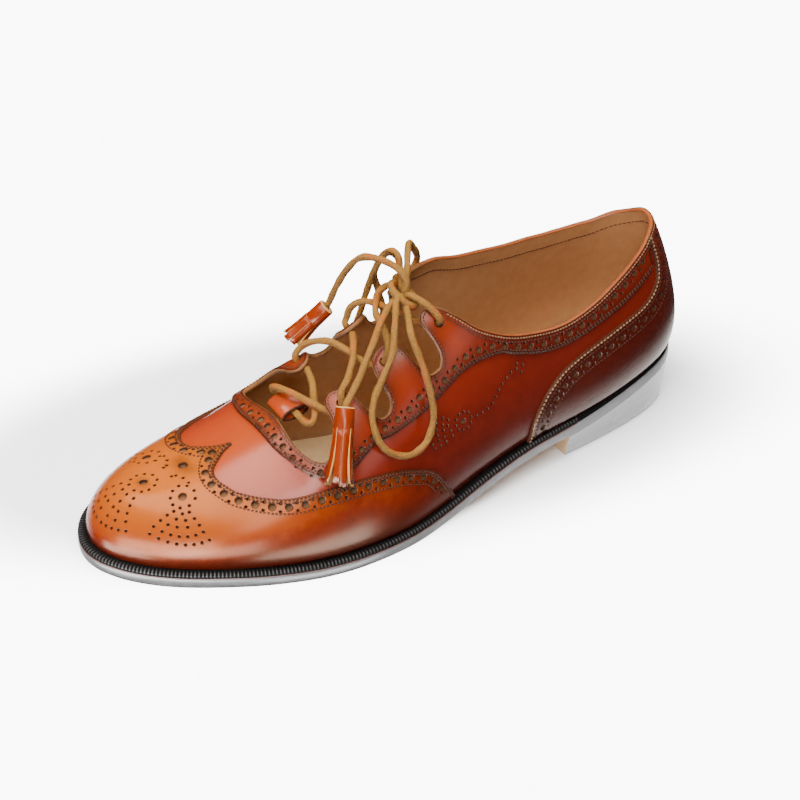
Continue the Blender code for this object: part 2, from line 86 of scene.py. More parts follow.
def unit(v):
    return np.asarray(v, float) / np.linalg.norm(v)


outward = math.cos(ELEVATION)
back = np.array([math.sin(AZIMUTH) * outward, -math.cos(AZIMUTH) * outward, math.sin(ELEVATION)])
level = np.array([math.cos(AZIMUTH), math.sin(AZIMUTH), 0])
upright = np.cross(back, level)
right = math.cos(ROLL) * level + math.sin(ROLL) * upright
up = -math.sin(ROLL) * level + math.cos(ROLL) * upright
look = unit(-back - right * PAN_PX[0] / FOCAL_PX + up * PAN_PX[1] / FOCAL_PX)
right = unit(right - look * (right @ look))
up = np.cross(right, look)
eye = metres(np.array(TARGET) + back * DISTANCE)
lens = bpy.data.cameras.new("camera")
lens.sensor_width = SENSOR_MM
lens.lens = FOCAL_PX * SENSOR_MM / FRAME_PX
lens.clip_end = 20
camera = bpy.data.objects.new("camera", lens)
turned = np.array([right, up, -look]).T
camera.matrix_world = Matrix([[*row, e] for row, e in zip(turned, eye)] + [[0, 0, 0, 1]])
bpy.context.scene.collection.objects.link(camera)
bpy.context.scene.camera = camera
print("camera at", np.round(eye, 3), "lens", round(lens.lens, 1))

# %% Floor
FLOOR_RADIUS, FLOOR_SIDES = 1.4, 128
floor_mesh = bpy.data.meshes.new("floor")
turns = np.linspace(0, 2 * np.pi, FLOOR_SIDES, endpoint=False)
round_edge = [(FLOOR_RADIUS * math.cos(a), FLOOR_RADIUS * math.sin(a), 0) for a in turns]
floor_mesh.from_pydata(round_edge, [], [tuple(range(FLOOR_SIDES))])
floor = bpy.data.objects.new("floor", floor_mesh)
bpy.context.scene.collection.objects.link(floor)
floor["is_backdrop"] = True
print("floor is", 2 * FLOOR_RADIUS, "m wide")


# %% Lamps
def softbox(name, place, aim, size, watts, fill=True, shine=True):
    """A soft lamp at place, turned to aim; fill lights the colours and shine is seen in the polish."""
    lamp = bpy.data.lights.new(name, "AREA")
    lamp.shape = "RECTANGLE"
    lamp.size, lamp.size_y = size
    lamp.energy = watts
    lamp_object = bpy.data.objects.new(name, lamp)
    lamp_object.location = place
    lamp_object.rotation_euler = (Vector(aim) - Vector(place)).to_track_quat("-Z", "Y").to_euler()
    lamp_object.visible_diffuse = fill
    lamp_object.visible_glossy = shine
    lamp_object.visible_camera = False
    bpy.context.scene.collection.objects.link(lamp_object)


softbox("overhead", (0.4, 0.22, 1.2), (0.4, 0.22, 0.0), (0.46, 1.9), 60)
softbox("heel_top", (-0.45, 0.05, 1.2), (-0.2, 0.0, 0.0), (0.6, 1.0), 20)
softbox("toe_fill", (1.0, 0.6, 0.2), (0.1, 0.0, 0.03), (1.0, 0.5), 14, shine=False)
softbox("toe_front", (1.0, 0.6, 0.06), (0.1, 0.0, 0.03), (1.1, 0.6), 105, fill=False)
# The bright table, mirrored low on the leather
softbox("table_toe", (1.14, 0.18, -0.36), (0.12, 0.0, 0.02), (0.89, 0.47), 58, fill=False)
softbox("table_front", (0.63, 0.97, -0.17), (0.09, 0.03, 0.02), (0.8, 0.47), 50, fill=False)
softbox("table_side", (-0.05, 0.95, -0.6), (0.07, 0.04, 0.02), (0.63, 0.4), 26, fill=False)
# Narrow lights on the side and over it, and a rim light from behind
softbox("instep_side", (-0.41, 1.14, 0.23), (0.03, 0.04, 0.04), (0.34, 0.34), 1.8, fill=False)
softbox("side_top", (0.324, 1.088, 0.77), (0.06, 0.03, 0.06), (0.3, 0.6), 18, fill=False)
softbox("behind", (-0.8, -1.0, 1.1), (0.0, 0.0, 0.04), (0.7, 0.5), 7)

# %% White room
# Bright where the camera looks straight at it, and nearly dark for the shoe
ROOM_DARK, ROOM_BRIGHT = 0.06, 10.0
world = bpy.data.worlds.new("studio")
world.use_nodes = True
backdrop = world.node_tree.nodes["Background"]
backdrop.inputs["Color"].default_value = (1, 1, 1, 1)
seen = world.node_tree.nodes.new("ShaderNodeLightPath")
strength = world.node_tree.nodes.new("ShaderNodeMapRange")
strength.inputs["To Min"].default_value = ROOM_DARK
strength.inputs["To Max"].default_value = ROOM_BRIGHT
world.node_tree.links.new(seen.outputs["Is Camera Ray"], strength.inputs["Value"])
world.node_tree.links.new(strength.outputs["Result"], backdrop.inputs["Strength"])
bpy.context.scene.world = world
print("lamps", len(bpy.data.lights))

# %% [markdown]
# ## A short way to write finishes
# Leather, thread and lace all need small sums of noise and position. Wiring nodes by hand hides those sums,
# so a value on its way through a material is wrapped in a small class whose operators add Math nodes.

# %% Values that can be used in sums
class Value:
    """A socket that can be used in sums."""

    def __init__(self, finish, socket):
        self.finish, self.socket = finish, socket

    def math(self, operation, a, b):
        return self.finish.node("ShaderNodeMath", {"operation": operation}, {0: a, 1: b})

    def __add__(self, other):
        return self.math("ADD", self, other)

    def __radd__(self, other):
        return self.math("ADD", other, self)

    def __sub__(self, other):
        return self.math("SUBTRACT", self, other)

    def __rsub__(self, other):
        return self.math("SUBTRACT", other, self)

    def __mul__(self, other):
        return self.math("MULTIPLY", self, other)

    def __rmul__(self, other):
        return self.math("MULTIPLY", other, self)

    def __truediv__(self, other):
        return self.math("DIVIDE", self, other)

    def __rtruediv__(self, other):
        return self.math("DIVIDE", other, self)

    def __pow__(self, other):
        return self.math("POWER", self, other)

    def __rpow__(self, other):
        return self.math("POWER", other, self)


# %% Finishes
class Finish:
    """A material with constants on its shader, and one method that adds any node."""

    def __init__(self, name, **constants):
        self.material = bpy.data.materials.new(name)
        self.material.use_nodes = True
        self.tree = self.material.node_tree
        self.shader = self.tree.nodes["Principled BSDF"]
        for socket, value in constants.items():
            self.shader.inputs[socket.replace("_", " ")].default_value = value

    def node(self, kind, settings=(), sockets=(), output=0):
        """Any node: its settings, its sockets by number or name, and which output is used."""
        made = self.tree.nodes.new(kind)
        for key, value in dict(settings).items():
            if key == "stops":
                ramp = made.color_ramp.elements
                for stop, (place, colour) in enumerate(value):
                    element = ramp[stop] if stop < 2 else ramp.new(place)
                    element.position = place
                    element.color = (*colour, 1)
            else:
                setattr(made, key, value)
        for key, value in dict(sockets).items():
            if isinstance(value, Value):
                self.tree.links.new(value.socket, made.inputs[key])
            else:
                made.inputs[key].default_value = value
        return Value(self, made.outputs[output])

    def give(self, socket, value):
        self.tree.links.new(value.socket, self.shader.inputs[socket])

    def place(self):
        return self.node("ShaderNodeTexCoord", output="Object")

    def noise(self, scale, detail, roughness):
        sockets = {"Vector": self.place(), "Scale": scale, "Detail": detail, "Roughness": roughness}
        return self.node("ShaderNodeTexNoise", {}, sockets)

    def attribute(self, name):
        """A value stored at each point of a piece."""
        return self.node("ShaderNodeAttribute", {"attribute_name": name}, {}, "Fac")

    def blend(self, share, a, b):
        """From colour a to colour b by a share."""
        first, second = (c if isinstance(c, Value) else (*c, 1) for c in (a, b))
        return self.node("ShaderNodeMix", {"data_type": "RGBA"}, {"Factor": share, 6: first, 7: second}, 2)

    def relief(self, height, strength, depth):
        bump = {"Height": height, "Strength": strength, "Distance": depth}
        self.give("Normal", self.node("ShaderNodeBump", {}, bump))

# %% [markdown]
# ## The floor's finish
# The floor is a white card that takes the shoe's soft shadow. It must not end in a visible line, so it thins
# out into the white room round the shoe, in the shape of a skewed oval as large as the shadow.

# %% Floor finish
# Middle and half sizes of the oval in metres, how far it is skewed, and where it starts and ends to thin out
CARD_MIDDLE, CARD_HALF, CARD_SKEW, FADE = (0.0, -0.04), (0.19, 0.09), 0.25, (0.8, 1.25)
floor_finish = Finish("pale_floor", Base_Color=(0.93, 0.93, 0.93, 1), Roughness=0.7)
spot = floor_finish.place()
along, across = (floor_finish.node("ShaderNodeSeparateXYZ", {}, {0: spot}, k) for k in ("X", "Y"))
along_share = (along - CARD_MIDDLE[0]) / CARD_HALF[0]
across_share = (across + along * CARD_SKEW - CARD_MIDDLE[1]) / CARD_HALF[1]
reach = along_share ** 2 + across_share ** 2
floor_finish.give("Alpha", floor_finish.node(
    "ShaderNodeMapRange", {"interpolation_type": "SMOOTHSTEP"},
    {0: reach ** 0.5, 1: FADE[0], 2: FADE[1], 3: 1.0, 4: 0.0}))
floor.data.materials.append(floor_finish.material)
print("stage ready")

# %% [markdown]
# ## The lace's route
# A leather lace is one long thong. Here it starts at the knot, crosses the instep through the eyelet tabs
# and the strap at the throat, and comes back to the knot, where two bows and two tasselled ends hang free.
# The route is a list of points in millimetres, drawn again as a smooth line, so that the lace bends evenly.

# %% Lace routes
# Points of the centre line: x, y, z in millimetres from the heel back
CROSSINGS = [
    (142.6, 17.2, 100.8), (139.4, 21.4, 95.6), (138.4, 19.7, 91.7), (138.2, 16.2, 88.8),
    (143.4, 12.4, 88.8), (150.4, 8.0, 93.6), (155.2, 0.8, 95.2), (158.4, -5.1, 95.6),
    (161.5, -10.4, 93.6), (164.1, -13.9, 89.2), (165.7, -14.6, 84.0), (167.2, -13.5, 82.2),
    (166.0, -10.2, 79.0), (170.0, -1.7, 82.9), (176.7, 9.5, 81.4), (184.0, 17.2, 77.6),
    (189.2, 20.2, 73.8), (190.0, 21.4, 69.3), (190.4, 20.4, 65.4), (194.6, 18.4, 64.2),
    (200.0, 14.8, 67.8), (204.4, 3.0, 68.6), (206.6, -5.4, 66.9), (206.4, -11.6, 63.4),
    (204.8, -10.8, 59.9), (204.6, 2.0, 59.9), (204.4, 15.4, 59.9), (201.6, 17.4, 62.6),
    (198.5, 11.9, 65.8), (193.9, 2.4, 70.1), (189.5, -10.6, 68.0), (189.8, -15.0, 67.1),
    (191.4, -16.9, 71.2), (189.2, -16.9, 74.5), (185.5, -14.3, 78.3), (179.9, -7.7, 80.9),
    (176.2, 0.8, 80.5), (171.4, 11.6, 77.4), (166.6, 16.0, 76.8), (166.3, 19.1, 80.7),
    (164.4, 19.0, 89.0), (162.1, 11.2, 93.6), (161.5, 4.8, 95.5), (159.2, 0.0, 96.7),
    (155.0, -5.0, 98.6), (149.4, -7.0, 99.7), (143.4, -8.3, 97.9), (137.6, -11.4, 93.6),
    (139.3, -15.4, 95.7), (132.1, -18.8, 93.2), (127.3, -18.9, 95.8), (126.3, -17.8, 101.0),
    (129.8, -14.3, 108.1), (134.5, -11.3, 114.9), (139.4, -4.7, 114.0), (143.6, 1.6, 110.6)]
BOW_OUTER = [
    (149.6, 7.6, 102.6), (154.2, 10.4, 104.2), (159.8, 18.0, 101.0), (165.5, 25.0, 89.6),
    (172.2, 28.0, 80.4), (179.5, 32.0, 73.8), (183.2, 36.6, 65.4), (181.8, 42.8, 54.8),
    (172.0, 45.8, 48.0), (160.9, 44.2, 49.4), (154.2, 40.4, 60.6), (154.4, 34.2, 78.0),
    (155.4, 24.6, 93.2), (152.4, 16.0, 99.4), (149.6, 9.6, 101.6)]
BOW_INNER = [
    (147.6, 4.6, 103.8), (146.2, 0.2, 109.4), (144.6, -5.0, 116.4), (146.0, -12.6, 113.0),
    (148.0, -19.4, 100.0), (150.6, -23.2, 86.0), (154.4, -24.0, 73.0), (156.7, -26.1, 62.9),
    (153.0, -27.6, 56.4), (146.3, -27.0, 56.7), (141.3, -25.5, 63.8), (141.1, -24.2, 74.3),
    (143.6, -23.4, 86.0), (146.3, -22.3, 97.5), (144.3, -15.5, 110.5), (143.1, -7.9, 113.0),
    (145.2, -0.6, 107.0), (147.0, 3.4, 103.4)]
END_OUTER = [
    (150.0, 6.6, 102.4), (157.0, 9.2, 101.8), (164.6, 14.6, 99.8), (174.4, 21.4, 92.4),
    (183.6, 26.6, 83.6), (192.6, 30.6, 75.4), (194.8, 32.6, 72.1)]
END_INNER = [
    (148.4, 7.4, 102.8), (147.1, 6.9, 109.6), (149.1, 1.5, 114.4), (153.7, -7.1, 116.0),
    (158.7, -13.7, 114.3), (162.6, -18.8, 106.4), (166.2, -22.4, 96.5), (168.8, -25.0, 87.2),
    (171.5, -26.0, 83.4)]
KNOT_WRAP = [
    (145.5, 11.4, 98.6), (147.8, 12.7, 99.7), (150.3, 12.3, 101.5), (152.2, 10.2, 103.6),
    (153.2, 7.1, 105.3), (152.8, 3.8, 106.3), (151.3, 1.1, 106.2), (149.0, -0.1, 105.1),
    (146.6, 0.3, 103.3), (144.6, 2.3, 101.2), (143.6, 5.4, 99.5), (144.0, 8.7, 98.5),
    (145.5, 11.4, 98.6), (147.8, 12.7, 99.7)]


def curve_through(points, step):
    """Smooth open curve through the points, with a point about each step."""
    p = np.array(points, float)
    p = np.vstack([2 * p[0] - p[1], p, 2 * p[-1] - p[-2]])
    out = []
    for i in range(1, len(p) - 2):
        count = max(1, round(np.linalg.norm(p[i + 1] - p[i]) / step))
        for t in np.arange(count)[:, None] / count:
            m0 = (p[i + 1] - p[i - 1]) / 2
            m1 = (p[i + 2] - p[i]) / 2
            start = (2 * t**3 - 3 * t**2 + 1) * p[i] + (t**3 - 2 * t**2 + t) * m0
            out.append(start + (3 * t**2 - 2 * t**3) * p[i + 1] + (t**3 - t**2) * m1)
    out.append(p[-2])
    return np.array(out).reshape(-1, p.shape[1])


def length_of(points):
    """Length of a line of points."""
    return float(np.linalg.norm(np.diff(points, axis=0), axis=1).sum())


for name, route in (("crossings", CROSSINGS), ("outer bow", BOW_OUTER), ("inner bow", BOW_INNER)):
    print(name, "lace is", round(length_of(curve_through(route, 1.0))), "mm long")

# %% [markdown]
# ## The last
# A shoe is made over a last, a wooden form of the foot. Its surface can be written as one function of how
# far along the foot a point is and how far it has gone up from the sole to the crest. Every pattern piece is
# then drawn flat, as a cutter would, and laid on that surface at its own height.

# %% Tables of the last
LENGTH = 305.0           # of the outsole
GAP = 0.3                # between the outsole and the upper's foot
SOLE_THICK = 5.5
GIRTH = 95.0             # height of the flat pattern from the foot to the crest
# Outline of the outsole from the heel back round the outer side: x, y
OUTLINE = [
    (0, 0), (5, 14), (20, 25.5), (62, 34), (100, 37.8), (140, 44.8), (175, 51.5), (205, 51.7),
    (235, 46.7), (262, 37), (285, 22.7), (299, 8), (305, -8), (300.5, -25), (286, -39.5), (262, -48.5),
    (235, -51.5), (210, -50.5), (180, -42), (145, -31), (110, -27), (75, -29), (24, -27), (5.5, -14.5)]
# Underside of the outsole: x, z
UNDERSIDE = [
    (0, 23.8), (20, 21.2), (75, 12.6), (100, 10.4), (125, 6.5), (150, 1.9), (172, 0), (198, 0),
    (215, 0.8), (235, 3.0), (260, 5.8), (285, 7.2), (305, 8.6)]
# How far the upper's foot sits inside the outline: x, inset
FEATHER = [(0, 2.0), (50, 2.4), (80, 3.6), (120, 4.2), (180, 5.0), (240, 5.6), (305, 6.2)]
# Crest of the last over the instep and toe: x, y, z
CREST = [
    (0, 0, 118), (60, 0, 119), (100, 0.5, 117), (130, 1, 108.5), (160, 1.5, 91.5), (190, 2.2, 72.8),
    (215, 2, 58), (240, -2, 48.2), (262, -6.4, 42.4), (280, -10, 38.2)]
# Where the crest starts to run short of the stations at the heel and the toe, and where it ends
HEEL_FAN = (60.0, 34.0)
TOE_FAN = (215.0, 274.0)
# Section of the last: x, side fullness, crown fullness, bulge, height of the bulge
SECTION = [
    (0, 1.0, 1.0, 4.0, 20), (60, 1.0, 1.0, 3.0, 18), (110, 1.05, 1.05, 2.5, 15),
    (160, 1.06, 1.0, 2.0, 13), (200, 0.74, 0.84, 2.0, 12), (240, 0.74, 0.8, 2.2, 12),
    (280, 0.8, 0.98, 2.4, 11), (305, 0.95, 1.1, 2.4, 10)]
# Inner side against the outer: x, share of the side fullness, rise of the patterns
INNER = [
    (0, 1.0, 0), (4, 0.95, -0.03), (12, 0.82, -0.055), (22, 0.68, -0.055), (34, 0.56, -0.025),
    (50, 0.42, 0.033), (64, 0.36, 0.094), (80, 0.32, 0.137), (107, 0.34, 0.148), (120, 0.42, 0.145),
    (130, 0.54, 0.095), (150, 0.9, 0), (165, 1.0, 0)]

# %% Tables of the pattern edges: x of the station, share of the way up to the crest
TOP_EDGE = [
    (213.5, 1.0), (214.5, 0.91), (215, 0.83), (214, 0.72), (211.5, 0.62), (207, 0.555), (201, 0.575),
    (197.5, 0.66), (196.5, 0.76), (196, 0.845), (193, 0.885), (188.5, 0.85), (185, 0.755), (181.5, 0.62),
    (177, 0.53), (172, 0.515), (169.5, 0.56), (170.5, 0.64), (171.5, 0.73), (170.5, 0.79), (167, 0.81),
    (162, 0.785), (157.5, 0.71), (153.5, 0.6), (149, 0.518), (143.5, 0.5), (141, 0.53), (142, 0.6),
    (144.5, 0.69), (145.5, 0.745), (143.5, 0.778), (139, 0.76), (135, 0.71), (129, 0.625), (120, 0.52),
    (107, 0.435), (93, 0.385), (77, 0.36), (61, 0.375), (42, 0.425), (22, 0.487), (10, 0.525), (0, 0.535)]
BAND_EDGE = [
    (220.5, 1.0), (221, 0.855), (219, 0.705), (215, 0.56), (207.5, 0.455), (198, 0.418), (190, 0.436),
    (182, 0.45), (172, 0.425), (154, 0.41), (131, 0.425), (112, 0.392), (104, 0.355), (89, 0.305),
    (73, 0.29), (57, 0.305), (38, 0.335), (18.5, 0.385)]
WING_EDGE = [
    (230, 1.0), (236, 0.985), (242, 0.945), (245.5, 0.905), (247, 0.835), (245.5, 0.745), (242.5, 0.66),
    (233, 0.535), (222, 0.45), (199, 0.36), (173, 0.27), (163, 0.225), (157, 0.195), (151.5, 0.14),
    (142.5, 0.015)]
COUNTER_EDGE = [
    (99.5, 0.015), (98.5, 0.06), (96.5, 0.1), (90.5, 0.155), (82, 0.2), (74, 0.222), (63, 0.24),
    (46, 0.26), (29, 0.28), (19.5, 0.32), (16, 0.375), (15.5, 0.44), (15.5, 0.505)]

# %% Smooth curves from tables
def spline(points, count):
    """Closed cubic curve through the points, even in the root of the chord."""
    p = np.array(points + points[:1], float)
    n = len(points)
    h = np.linalg.norm(np.diff(p, axis=0), axis=1) ** 0.5
    t = np.concatenate([[0], np.cumsum(h)])
    a = np.zeros((n, n))
    r = np.zeros((n, 2))
    for i in range(n):
        a[i, i - 1] += h[i - 1]
        a[i, i] += 2 * (h[i - 1] + h[i])
        a[i, (i + 1) % n] += h[i]
        before = p[i - 1] if i else p[n - 1]
        r[i] = 6 * ((p[i + 1] - p[i]) / h[i] - (p[i] - before) / h[i - 1])
    m = np.linalg.solve(a, r)
    m = np.vstack([m, m[:1]])
    q = np.linspace(0, t[-1], count, endpoint=False)
    k = np.clip(np.searchsorted(t, q, side="right") - 1, 0, n - 1)
    hk = h[k][:, None]
    f = (t[k + 1] - q)[:, None] / hk
    g = 1 - f
    return f * p[k] + g * p[k + 1] + ((f**3 - f) * m[k] + (g**3 - g) * m[k + 1]) * hk**2 / 6


def table(rows, x, column=1):
    """Smooth value of a table's column at x, level where the table is level."""
    rows = np.array(rows, float)
    xs, ys = rows[:, 0], rows[:, column]
    dx = np.diff(xs)
    d = np.diff(ys) / dx
    inner = np.where(d[1:] * d[:-1] <= 0, 0, (d[1:] * dx[:-1] + d[:-1] * dx[1:]) / (xs[2:] - xs[:-2]))
    m = np.concatenate([d[:1], inner, d[-1:]])
    x = np.clip(x, xs[0], xs[-1])
    k = np.clip(np.searchsorted(xs, x, side="right") - 1, 0, len(xs) - 2)
    h = dx[k]
    u = (x - xs[k]) / h
    start = (2 * u**3 - 3 * u**2 + 1) * ys[k] + (u**3 - 2 * u**2 + u) * h * m[k]
    return start + (3 * u**2 - 2 * u**3) * ys[k + 1] + (u**3 - u**2) * h * m[k + 1]


# %% Outline of the sole
def half_outlines(count=4800):
    """The outline as an outer and an inner half: x, y and the outward direction, heel to toe."""
    o = spline(OUTLINE, count)
    t = np.roll(o, -1, 0) - np.roll(o, 1, 0)
    t /= np.linalg.norm(t, axis=1, keepdims=True)
    rows = np.column_stack([o, -t[:, 1], t[:, 0]])
    toe = int(np.argmax(o[:, 0]))
    heel = int(np.argmin(o[:, 0]))
    heel -= count if heel > count // 2 else 0
    outer = rows[np.arange(heel, toe + 1) % count]
    inner = rows[np.arange(toe, count + heel + 1) % count][::-1]
    return {1: outer, -1: inner}


HALF = half_outlines()
HEEL_BACK = HALF[1][0, 0]
REACH = HALF[1][-1, 0] - HEEL_BACK


def station_x(u):
    """Stations lie closer together towards the heel and the toe."""
    return HEEL_BACK + REACH * (1 - np.cos(np.pi * u)) / 2


def station_u(x):
    return np.arccos(np.clip(1 - 2 * np.asarray(x, float) / LENGTH, -1, 1)) / np.pi


def outline(u, s, inset=0.0):
    """Point of the outline moved inwards, with its outward direction; u 0 heel to 1 toe."""
    x = station_x(u)
    both = []
    for key in (1, -1):
        half = HALF[key]
        both.append([np.interp(x, half[:, 0], half[:, c]) for c in range(4)])
    o = np.where(s > 0, both[0], both[1])
    n = o[2:] / np.hypot(o[2], o[3])
    return np.array([o[0] - n[0] * inset, o[1] - n[1] * inset]), n


# %% The surface of the last
def crest_x(x):
    """Where the section at station x meets the crest: at the ends the sections fan out."""
    u = np.clip((HEEL_FAN[0] - x) / HEEL_FAN[0], 0, 1)
    v = np.clip((x - TOE_FAN[0]) / (LENGTH - TOE_FAN[0]), 0, 1)
    back = HEEL_FAN[0] - (HEEL_FAN[0] - HEEL_FAN[1]) * u * (2 - u)
    front = TOE_FAN[0] + (TOE_FAN[1] - TOE_FAN[0]) * v * (2 - v)
    return np.where(x < HEEL_FAN[0], back, np.where(x > TOE_FAN[0], front, x))


def last(u, w, s):
    """Surface of the last: u heel to toe, w foot to crest; past an end it runs down the other side."""
    s = np.where((u < 0) | (u > 1), -s, s)
    u = np.abs(u)
    u = np.where(u > 1, 2 - u, u)
    s = np.where(w > 1, -s, s)
    w = np.where(w > 1, 2 - w, w)
    x = station_x(u)
    foot, n = outline(u, s, table(FEATHER, x))
    z = table(UNDERSIDE, x) + SOLE_THICK + GAP
    cx = crest_x(x)
    top = np.array([cx, table(CREST, cx, 1)])
    side, crown, bulge, height = (table(SECTION, x, c) for c in (1, 2, 3, 4))
    inner = s < 0
    side = np.where(inner, side * table(INNER, x, 1), side)
    angle = np.where(inner, w + table(INNER, x, 2) * np.sin(np.pi * w), w) * np.pi / 2
    a = 1 - np.maximum(np.cos(angle), 0) ** side
    rise = np.maximum(np.sin(angle), 0) ** crown * (table(CREST, cx, 2) - z)
    k = rise / height
    bump = bulge * k * np.exp(1 - k) * (1 - a)
    xy = foot + (top - foot) * a + n * bump
    return np.array([xy[0], xy[1], z + rise]).T


# %% Flat pattern and its place on the last
RUN = np.concatenate([[0], np.cumsum(np.hypot(*np.diff(HALF[1][:, :2], axis=0).T))])
SEAM = np.interp((0, LENGTH), HALF[1][:, 0], RUN)      # the heel's and the toe's middle on the pattern
NEAR, TIP_SHARE, TIP_STEP = 0.006, 0.99, 0.02          # steps for directions, as shares of the last


def to_flat(edge):
    """Station and share of the way up, as flat millimetres of the pattern."""
    edge = np.asarray(edge, float)
    return np.column_stack([np.interp(edge[:, 0], HALF[1][:, 0], RUN), edge[:, 1] * GIRTH])


def from_flat(flat):
    """Flat millimetres as shares of the last, heel to toe and foot to crest."""
    flat = np.clip(flat, (SEAM[0], 0), (SEAM[1], GIRTH))
    return station_u(np.interp(flat[:, 0], RUN, HALF[1][:, 0])), flat[:, 1] / GIRTH


def laid(flat, s, lift=0.0):
    """Places and outward directions of flat points, laid on side s of the last at a height."""
    u, w = from_flat(np.asarray(flat, float))

    def direction(u, w, s):
        low = np.maximum(w - NEAR, 0)
        along = last(u + NEAR, w, s) - last(u - NEAR, w, s)
        rise = last(u, low + 2 * NEAR, s) - last(u, low, s)
        return np.cross(rise, along) * s

    n = direction(u, w, s)
    tip = (u > TIP_SHARE) & (w > TIP_SHARE)
    before = u[tip] - TIP_STEP, w[tip] - TIP_STEP
    n[tip] = direction(*before, s) + direction(*before, -s)
    n /= np.linalg.norm(n, axis=1, keepdims=True)
    return last(u, w, s) + n * np.reshape(lift, (-1, 1)), n


# %% Distances on the last
def stretch(flat):
    """How the last stretches the flat pattern at each point: the metric of the surface."""
    mid = np.clip(flat, (SEAM[0] + 0.6, 0.6), (SEAM[1] - 0.6, GIRTH - 0.6))

    def at(du, dv):
        return last(*from_flat(mid + (du, dv)), 1)

    j = np.stack([at(0.5, 0) - at(-0.5, 0), at(0, 0.5) - at(0, -0.5)], 2)
    return np.einsum("nki,nkj->nij", j, j)


def moved_in(line, distance):
    """A line on the pattern moved sideways on the last, to the left of its own direction."""
    t = np.gradient(line, axis=0)
    turned = np.column_stack([-t[:, 1], t[:, 0]])
    g = stretch(line)
    v = np.linalg.solve(g, turned[:, :, None])[:, :, 0]
    v /= np.sqrt(np.einsum("ni,nij,nj->n", v, g, v))[:, None]
    return np.clip(line + v * np.reshape(distance, (-1, 1)), (SEAM[0], 0), (SEAM[1], GIRTH))


def running(points):
    """Length of a line up to each of its points."""
    return np.concatenate([[0], np.cumsum(np.linalg.norm(np.diff(points, axis=0), axis=1))])


def spaced(line, pitch):
    """Points along a line with an even pitch on the last."""
    run = running(laid(line, 1)[0])
    count = max(2, int(run[-1] / pitch) + 1)
    even = run[-1] * np.arange(count) / (count - 1)
    return np.column_stack([np.interp(even, run, line[:, c]) for c in (0, 1)])


print("last reaches from", round(float(HEEL_BACK), 2), "to", round(float(HEEL_BACK + REACH), 2), "mm")

# %% [markdown]
# ## Cutting leather
# A clicker cuts each piece from a skin and a brogueing tool punches its holes. Here the flat border and the
# holes are filled with triangles, and the triangles inside the holes are thrown away. Then the sheet is
# laid on both sides of the last, with walls down its cut edges, a softened rim and the last's own normals,
# so that the leather looks smooth even where its triangles are large.

# %% Points, borders and holes
LARGE_HOLE = 1.0         # holes with a larger radius get more sides and a pale bottom
HALO = 0.3               # a ring of points this far outside a hole keeps the leather flat round it


def inside(points, border):
    """Which points lie within a closed border."""
    x, y = points[:, 0:1], points[:, 1:2]
    a, b = border, np.roll(border, -1, 0)
    cross = (a[:, 1] > y) != (b[:, 1] > y)
    slope = np.where(b[:, 1] == a[:, 1], 1, b[:, 1] - a[:, 1])
    hit = x < (b[:, 0] - a[:, 0]) * (y - a[:, 1]) / slope + a[:, 0]
    return (cross & hit).sum(1) % 2 == 1


def ring_of(centre, radius, sides, turn=0.0):
    """A circle on the last, drawn on the flat pattern."""
    centre = np.asarray(centre, float)
    value, vector = np.linalg.eigh(stretch(centre[None])[0])
    root = vector @ np.diag(value ** -0.5) @ vector.T
    angle = 2 * np.pi * (np.arange(sides) + turn) / sides
    return centre + radius * np.column_stack([np.cos(angle), np.sin(angle)]) @ root


def nearest(points, marks):
    """Distance on the pattern from each point to the nearest mark."""
    tree = KDTree(len(marks))
    for i, p in enumerate(marks):
        tree.insert((*p, 0), i)
    tree.balance()
    return np.array([tree.find((*p, 0))[2] for p in points])


def spaced_flat(loop, step):
    """Extra points on a closed loop so that none of its sides is longer than a step."""
    out = []
    for a, b in zip(loop, np.roll(loop, -1, 0)):
        out.append(np.linspace(a, b, max(2, int(np.linalg.norm(b - a) / step) + 1))[:-1])
    return np.vstack(out)


# %% Triangles of a cut sheet
def cut_out(border, holes, step, support=()):
    """Triangles of a flat sheet: points, faces, and rims: 0 none, 1 the border, 2 and up a hole."""
    low, high = border.min(0), border.max(0)
    rows = np.arange(math.floor(low[1] / step), high[1] / step + 1)
    columns = np.arange(math.floor(low[0] / step), high[0] / step + 1)
    grid = np.array([((c + 0.5 * (r % 2)) * step, r * step * 0.9) for r in rows for c in columns])
    grid = grid[inside(grid, border)]
    loops, halos = [border], []
    for place, radius in holes:
        sides = 16 if radius > LARGE_HOLE else 10
        loops.append(ring_of(place, radius, sides))
        halos.append(ring_of(place, radius + HALO, sides + 6, 0.5))
        if radius > LARGE_HOLE:
            grid = grid[~inside(grid, loops[-1])]
    taken = [spaced_flat(loop, 0.8 * step) for loop in loops]
    extra = np.vstack(halos + list(support))
    extra = extra[inside(extra, border)]
    keep = nearest(grid, np.vstack(taken + [extra])) > 0.5 * step
    points = np.vstack(loops + [extra, grid[keep]])
    edges, rims, first = [], [], 0
    for i, loop in enumerate(loops):
        n = len(loop)
        edges += [(first + k, first + (k + 1) % n) for k in range(n)]
        rims += [i + 1] * n
        first += n
    rims += [0] * (len(points) - first)
    verts, _, faces, origin, *_ = delaunay_2d_cdt([Vector(p) for p in points], edges, [], 0, 1e-7)
    verts = np.array([v[:] for v in verts])
    rim = np.array([max((rims[k] for k in o), default=0) for o in origin])
    faces = np.array([f for f in faces if len(f) == 3])
    middle = verts[faces].mean(1)
    three = rim[faces]
    punched = (three[:, 0] > 1) & (three[:, 0] == three[:, 1]) & (three[:, 1] == three[:, 2])
    return verts, faces[inside(middle, border) & ~punched], rim


